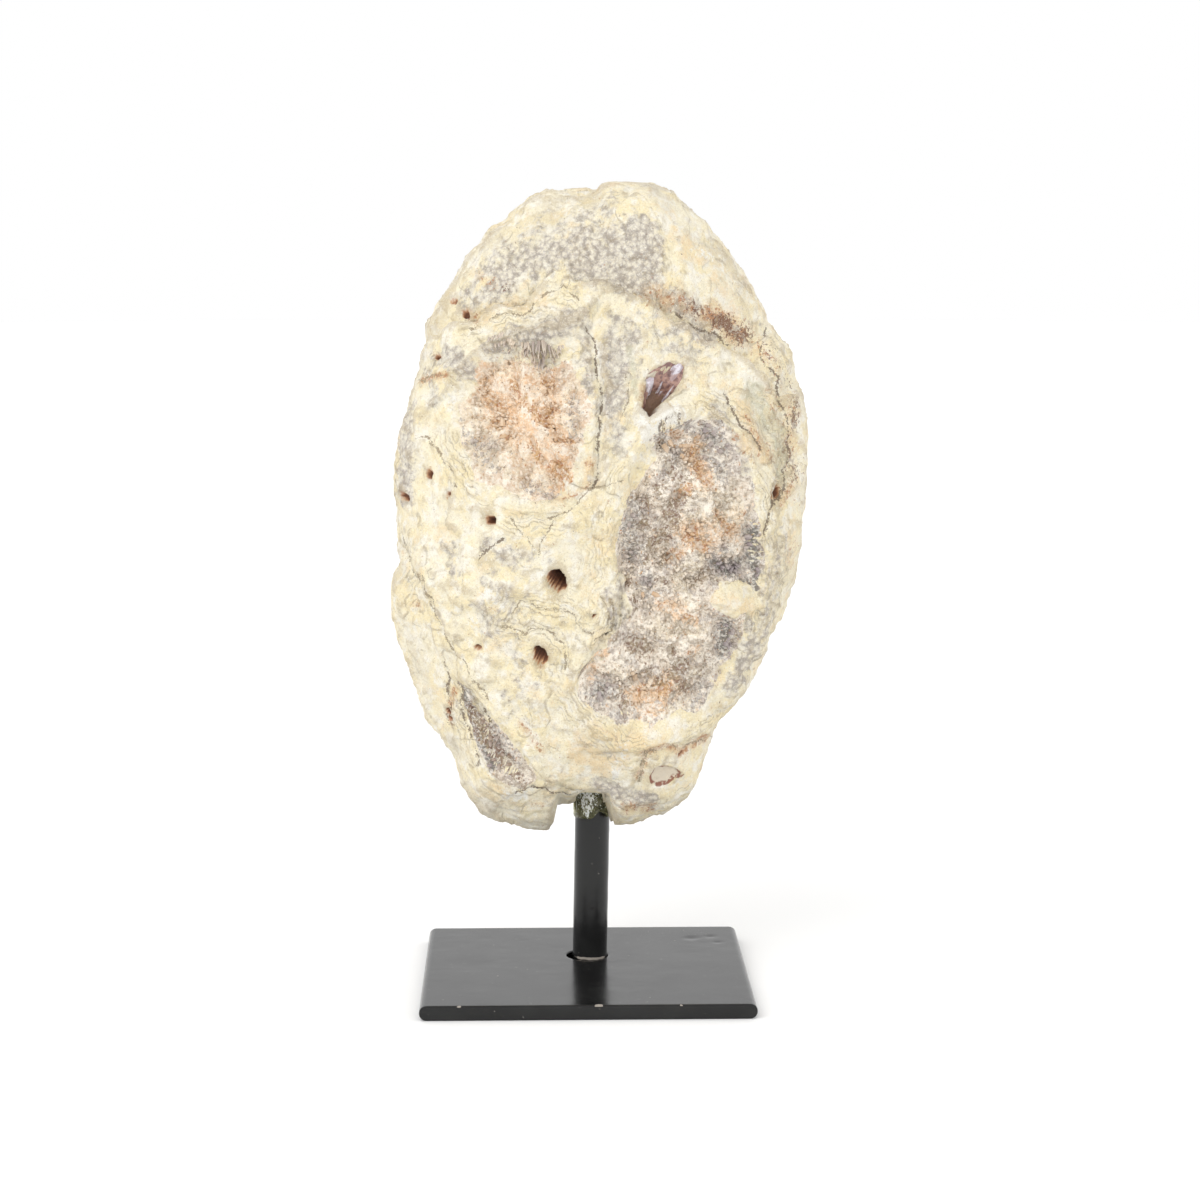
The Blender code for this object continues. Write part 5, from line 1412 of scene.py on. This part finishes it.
class AGATE_OT_druse(bpy.types.Operator):
    """The crystal crusts of the two fields and the wedge, with single crystals on them"""

    bl_idname = "agate.druse"
    bl_label = "Druse"

    def execute(self, context):
        sizes, look = context.scene.agate_sizes, context.scene.agate_look
        surface = crust_surface(look)
        large = sizes.crystal
        for name, outline, growth, count, *rest in (
            ("left_druse", LEFT_DRUSE, LEFT_GROWTH, 220, large, 0.6, 50, 2.6, 3.2, (-20.0, 190.5)),
            ("right_druse", RIGHT_DRUSE, RIGHT_GROWTH, sizes.crust_grid, large, 0.9, 60, 2.2, 1.0),
            ("wedge_druse", WEDGE, WEDGE, 110, 0.8 * large, 0.8, 70, 0.8, 0.8),
            ("cap_sugar", CAP_FIELD, CAP_FIELD, 210, 1.3, 0.6, 100, 0.0, 1.0, None, True),
        ):
            crust(name, outline, growth, count, surface, *rest)

        across, up = scatter((LEFT_DRUSE, RIGHT_DRUSE, WEDGE), (0.22, 0.62, 0.08), sizes.points, 80)
        ways = ways_seen_at(across, up)
        base, _ = stone_form(ways)
        across, up = seen(base)
        grown = (LEFT_GROWTH, RIGHT_GROWTH, WEDGE)
        field = np.min([area_distance(area, across, up) for area in grown], axis=0)
        draw = np.random.default_rng(81)
        count = len(base)
        marks = field_values(across, up)
        keep = (draw.uniform(size=count) > 0.4 * marks["pale"]) & (field < -2.0)
        keep &= area_distance(TONGUE, across, up) > 2.0
        long = draw.uniform(0.5, 1.3, count) * (1.0 + 0.4 * marks["dusk"])
        axes = ways + 0.5 * draw.normal(size=(count, 3))
        rise = BED_DEPTH - 0.7 - 1.5 * marks["umber"] + 1.6 * marks["pale"] - 0.6 * marks["dusk"]
        places = base + rise[:, None] * ways
        marks["tone"] = draw.uniform(size=count)
        marks = {key: value[keep] for key, value in marks.items()}
        wide = long[keep] * draw.uniform(0.36, 0.55, keep.sum())
        finish = crystal_finish(look)
        points = crystals("druse_points", places[keep], axes[keep], long[keep], wide, finish, marks)

        spots = np.array([line[0] for _, _, *line in AMBER if len(line) == 1], dtype=float)
        spots = np.repeat(spots, 3, axis=0) + 1.1 * draw.normal(size=(3 * len(spots), 2))
        ways = ways_seen_at(spots[:, 0], spots[:, 1])
        base, _ = stone_form(ways)
        count = len(base)
        marks = {key: 0.5 * value for key, value in field_values(*seen(base)).items()}
        marks.update(amber=draw.uniform(0.5, 1.0, count), tone=draw.uniform(size=count))
        axes = 0.7 * ways + draw.normal(size=(count, 3))
        long = draw.uniform(1.2, 2.6, count)
        places = base + (BED_DEPTH - 0.9) * ways
        large = crystals("amber_points", places, axes, long, 0.4 * long, crystal_finish(look), marks)
        return {"FINISHED"}


class AGATE_OT_fringe(bpy.types.Operator):
    """The long crystals that hang under the overhang above the left field"""

    bl_idname = "agate.fringe"
    bl_label = "Hanging crystals"

    def execute(self, context):
        draw = np.random.default_rng(90)
        count = 110
        share = draw.uniform(size=count)
        across = -29.0 + 21.0 * share + draw.normal(size=count) * 0.8
        up = 216.0 - 1.5 * share + draw.uniform(-1.2, 0.8, count)
        ways = ways_seen_at(across, up)
        base, _ = stone_form(ways)
        long = draw.uniform(0.7, 1.0, count) * (1.4 + 4.2 * bell(across + 15.0, 4.5))
        axes = ways * 0.7 + [0.2, -0.1, -1.0] + 0.12 * draw.normal(size=(count, 3))
        values = field_values(across, up)
        values["dusk"] = draw.uniform(0.0, 1.0, count) ** 2
        values["tone"] = draw.uniform(size=count)
        wide = draw.uniform(0.25, 0.5, count)
        finish = crystal_finish(context.scene.agate_look)
        made = crystals("hanging_points", base + 1.9 * ways, axes, long, wide, finish, values)
        return {"FINISHED"}


class AGATE_OT_vug(bpy.types.Operator):
    """The lining of the open hollow: a bowl of blocky crystals with pale lobes at its upper rim"""

    bl_idname = "agate.vug"
    bl_label = "Vug"

    def execute(self, context):
        look = context.scene.agate_look
        middle = np.array(VUG, dtype=float).mean(axis=0)
        share, angle = disc_grid(120)
        reach = reach_of(VUG, middle, angle, 1.0) + 0.7
        across, up = middle[0] + share * reach * np.cos(angle), middle[1] + share * reach * np.sin(angle)
        ways = ways_seen_at(across, up)
        around = ways_seen_at(middle[0] + 1.5 * (across - middle[0]), middle[1] + 1.5 * (up - middle[1]))
        rim_reach = np.linalg.norm(stone_form(around)[0] - CENTRE, axis=1)
        blocks, tone = crystal_heights(across, up, 2.6, 91, 1.5)
        small, _ = crystal_heights(up, across, 1.1, 92, 1.0)
        lobes = np.zeros(len(across))
        uneven = across + 1.2 * grain(np.stack([across, up, 0.0 * up], axis=1), 1.6, 93, 3)
        for x, z, radius in VUG_LOBES:
            lobes = np.maximum(lobes, 1.0 - ((uneven - x) ** 2 + (up - z) ** 2) / radius**2)
        lobe = smoothstep(0.0, 0.25, lobes)
        deep = -1.6 - 4.6 * (1.0 - share**3) + 1.5 * blocks + 0.5 * small
        deep = deep * (1.0 - lobe) + (-2.6 + 1.8 * np.sqrt(np.maximum(lobes, 0.0))) * lobe
        deep = np.where(share > 0.96, -1.8, deep)
        points = CENTRE + (rim_reach + deep)[:, None] * ways
        loop = rim_loop(points)
        floor = CENTRE + (rim_reach[loop] - VUG_BACK)[:, None] * ways[loop]
        marks = {"tone": tone, "relief": blocks, "lobe": lobe}
        grid = grid_faces(121, 121)[:, ::-1]
        points, faces, values = close_disc(points, floor, floor.mean(axis=0), marks, grid)
        lining = put_mesh("vug_lining", points, faces, vug_finish(look), values)
        replace("vug_crystals")
        return {"FINISHED"}


class AGATE_OT_glue(bpy.types.Operator):
    """The lumpy see-through collar where the rod enters the stone"""

    bl_idname = "agate.glue"
    bl_label = "Glue"

    def execute(self, context):
        rounds, rings = 180, 70
        turn, row = ring_grid(rounds, rings)
        section = np.array(GLUE_SECTION)
        length = np.append(0.0, np.cumsum(np.linalg.norm(np.diff(section, axis=0), axis=1)))
        radius, height = (np.interp(row / rings, length / length[-1], side) for side in section.T)
        east, north = np.cos(turn), np.sin(turn)
        place = round_axis(turn, radius, height)
        outer = smoothstep(6.4, 7.2, radius)
        radius = np.minimum(radius + outer * (0.35 * grain(place, 3.0, 95, 3) - 0.15), GLUE_REACH)
        arch = np.where(north < 0.0, 2.6 * bell(east - 0.38, 0.3), 0.0)
        height = height + arch * smoothstep(61.0, 54.5, height)
        bulge = smoothstep(-0.6, 0.7, east - 0.25 * north)
        radius = np.minimum(radius, 6.55 + 2.7 * bulge + 0.2 * grain(place, 2.0, 96, 3))
        points = lean(round_axis(turn, radius, height))
        wide = np.clip(0.6 * (height - 53.6) / 8.0, 0.0, 0.6)
        frost = smoothstep(1.3, 0.2, np.abs(east + 0.3) / np.maximum(wide, 0.05))
        frost = np.where(north < 0.0, 0.6 * frost, 0.0)
        faces = grid_faces(rings, rounds, True, True)
        glue = glue_finish(context.scene.agate_look)
        made = put_mesh("glue_collar", points, [faces], glue, {"frost": frost})
        replace("adhesive")
        return {"FINISHED"}


class AGATE_OT_stand(bpy.types.Operator):
    """The painted plate and rod, and the weld bead under the plate"""

    bl_idname = "agate.stand"
    bl_label = "Stand"

    def execute(self, context):
        look = context.scene.agate_look
        self.plate(look, context.scene.agate_sizes.plate_edge)
        self.rod(look)
        self.weld()
        return {"FINISHED"}

    def plate(self, look, edge):
        """The flat bar as rings from the hole out over the top, round the edge and back under.

        Each ring is a rectangle with round corners. Round the edge, its inset from the full width is that of
        a quarter circle of the rolled edge's radius. Its inset from the full depth is the same of SAWN_EDGE.
        """
        low, high = (np.array(corner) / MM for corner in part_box("base_plate"))
        half = (high[:2] - low[:2]) / 2.0
        thick = high[2]
        corners = np.array([(1, -1), (1, 1), (-1, 1), (-1, -1)]) * (half - PLATE_CORNER)
        along = np.linspace(0.0, 1.0, 130, endpoint=False)[1:, None]
        path = []
        for k in range(4):
            start, end = corners[k], corners[(k + 1) % 4]
            turned = 0.5 * np.pi * (k + np.linspace(0.0, 1.0, 6))
            arc = PLATE_CORNER * np.stack([np.cos(turned), np.sin(turned)], axis=1)
            path += [start + along * (end - start) + arc[0], end + arc]
        rim = np.concatenate(path)
        from_hole, from_seat = rim - PLATE_HOLE, rim - POST_FOOT
        from_hole /= np.linalg.norm(from_hole, axis=1, keepdims=True)
        from_seat /= np.linalg.norm(from_seat, axis=1, keepdims=True)

        def ring(inset_x, inset_y, z):
            return np.column_stack([rim * (1.0 - np.array([inset_x, inset_y]) / half), np.full(len(rim), z)])

        def edge_ring(turned, top):
            down = edge * (1.0 - math.cos(turned))
            sawn = max(0.0, SAWN_EDGE - down)
            inset_y = SAWN_EDGE - math.sqrt(SAWN_EDGE**2 - sawn**2)
            return ring(edge * (1.0 - math.sin(turned)), inset_y, thick - down if top else down)

        def round_hole(radius, z):
            return np.column_stack([PLATE_HOLE + radius * from_hole, np.full(len(rim), z)])

        def blend(a, b, count):
            share = np.linspace(0.0, 1.0, count)[:, None, None]
            return list(a[None] * (1.0 - share) + b[None] * share)

        rings = [round_hole(HOLE_RADIUS, z) for z in np.linspace(SEAT_TOP + 0.1, thick - 0.3, 5)]
        rings.append(round_hole(HOLE_RADIUS + 0.12, thick - 0.08))
        rings += blend(round_hole(HOLE_RADIUS + 0.35, thick), ring(edge, SAWN_EDGE, thick), 70)
        rings += [edge_ring(turned, True) for turned in np.linspace(0.0, 0.5 * np.pi, 14)[1:]]
        rings.append(ring(0.0, 0.0, thick / 2.0))
        rings += [edge_ring(turned, False) for turned in np.linspace(0.5 * np.pi, 0.0, 10)]
        seat = np.column_stack([POST_FOOT + SEAT_RADIUS * from_seat, np.zeros(len(rim))])
        rings += blend(rings[-1], seat, 12)[1:]
        rings.append(seat + [0.0, 0.0, SEAT_TOP])
        points = np.concatenate(rings)

        top = points[:, 2] > thick - 0.6
        x, y = points[:, 0], points[:, 1]
        relief = 0.035 * grain(points * [1.0, 1.0, 0.0], 14.0, 97, 3)
        for px, py, radius, lift in PLATE_SPECKS:
            relief = relief + lift * bell(np.hypot(x - px, y - py), radius)
        points[:, 2] += np.where(top, np.minimum(relief, 0.0) - 0.02, 0.0)
        worn = np.zeros(len(points))
        for px, py, radius in PLATE_CHIPS:
            worn = np.maximum(worn, bell(np.hypot(x - px, y - py), radius) * top)
        paint = paint_finish(look, "black gloss paint on the plate", 1)
        faces = grid_faces(len(rings), len(rim), True, True)
        plate = put_mesh("painted_plate", points, [faces], paint, {"worn": worn})
        replace("base_plate")

    def rod(self, look):
        """The round rod: rings along its axis with an uneven coat of paint, small chamfers and flat ends."""
        rounds = 120
        heights = np.concatenate([[0.8, 1.4], np.linspace(1.8, 79.0, 240), [79.4, POST_TOP]])
        radii = np.concatenate([[5.4], np.full(242, POST_RADIUS), [5.4]])
        turn, row = ring_grid(rounds, len(heights))
        place = round_axis(turn, 6.0, heights[row])
        coat = 0.03 * grain(place, 5.0, 98, 2) - 0.03
        coat += 0.05 * smoothstep(0.55, 0.9, grain(place, 2.6, 99, 1))
        coated = (row > 1) & (row < len(heights) - 2)
        points = round_axis(turn, radii[row] + np.where(coated, coat, 0.0), heights[row])
        worn = bell(heights[row] - 5.2, 0.7) * smoothstep(-0.2, 0.9, -np.sin(turn)) * 0.8
        foot, last = np.arange(rounds), np.arange(rounds) + len(points) - rounds
        caps = np.concatenate([
            np.column_stack([np.roll(foot, -1), foot, np.full(rounds, len(points))]),
            np.column_stack([last, np.roll(last, -1), np.full(rounds, len(points) + 1)]),
        ])
        points = np.concatenate([points, [[0.0, 0.0, heights[0]], [0.0, 0.0, heights[-1]]]])
        worn = np.append(worn, [0.0, 0.0])
        paint = paint_finish(look, "black gloss paint on the rod", 21)
        faces = grid_faces(len(heights), rounds, False, True)
        rod = put_mesh("painted_rod", lean(points), [faces, caps], paint, {"worn": worn})
        replace("post")

    def weld(self):
        """The bead as a ring with the ripples of a hand-run weld, inside its seat."""
        rounds, rings = 160, 24
        turn, row = ring_grid(rounds, rings)
        along = 2.0 * np.pi * row / rings
        ripple = 0.12 * np.abs(np.sin(turn * 13.0 + 0.8 * np.sin(along)))
        radius = 7.6 + (1.2 - ripple * 0.5) * np.cos(along)
        height = 1.05 + (0.6 - ripple) * np.sin(along)
        points = round_axis(turn, radius, height) + [POST_FOOT[0], POST_FOOT[1], 0.0]
        bead = put_mesh("weld_bead", points, [grid_faces(rings, rounds, True, True)], weld_finish())
        replace("weld")


class AGATE_PT_panel(bpy.types.Panel):
    """Operators and settings of the mounted agate"""

    bl_idname = "AGATE_PT_panel"
    bl_label = "Druzy agate"
    bl_space_type = "VIEW_3D"
    bl_region_type = "UI"
    bl_category = "Agate"

    def draw(self, context):
        for operator in OPERATORS:
            self.layout.operator(operator.bl_idname)
        for group in (context.scene.agate_sizes, context.scene.agate_look):
            for key in group.bl_rna.properties.keys():
                if key not in {"rna_type", "name"}:
                    self.layout.prop(group, key)


OPERATORS = (
    AGATE_OT_stage, AGATE_OT_stone, AGATE_OT_druse, AGATE_OT_fringe, AGATE_OT_vug, AGATE_OT_glue,
    AGATE_OT_stand,
)
CLASSES = (AgateLook, AgateSizes, *OPERATORS, AGATE_PT_panel)


def register():
    for cls in CLASSES:
        bpy.utils.register_class(cls)
    bpy.types.Scene.agate_look = bpy.props.PointerProperty(type=AgateLook)
    bpy.types.Scene.agate_sizes = bpy.props.PointerProperty(type=AgateSizes)


def unregister():
    del bpy.types.Scene.agate_look
    del bpy.types.Scene.agate_sizes
    for cls in reversed(CLASSES):
        bpy.utils.unregister_class(cls)


def main():
    register()
    bpy.ops.agate.stage()
    bpy.ops.agate.stone()
    bpy.ops.agate.druse()
    bpy.ops.agate.fringe()
    bpy.ops.agate.vug()
    bpy.ops.agate.glue()
    bpy.ops.agate.stand()


if __name__ == "__main__":
    main()
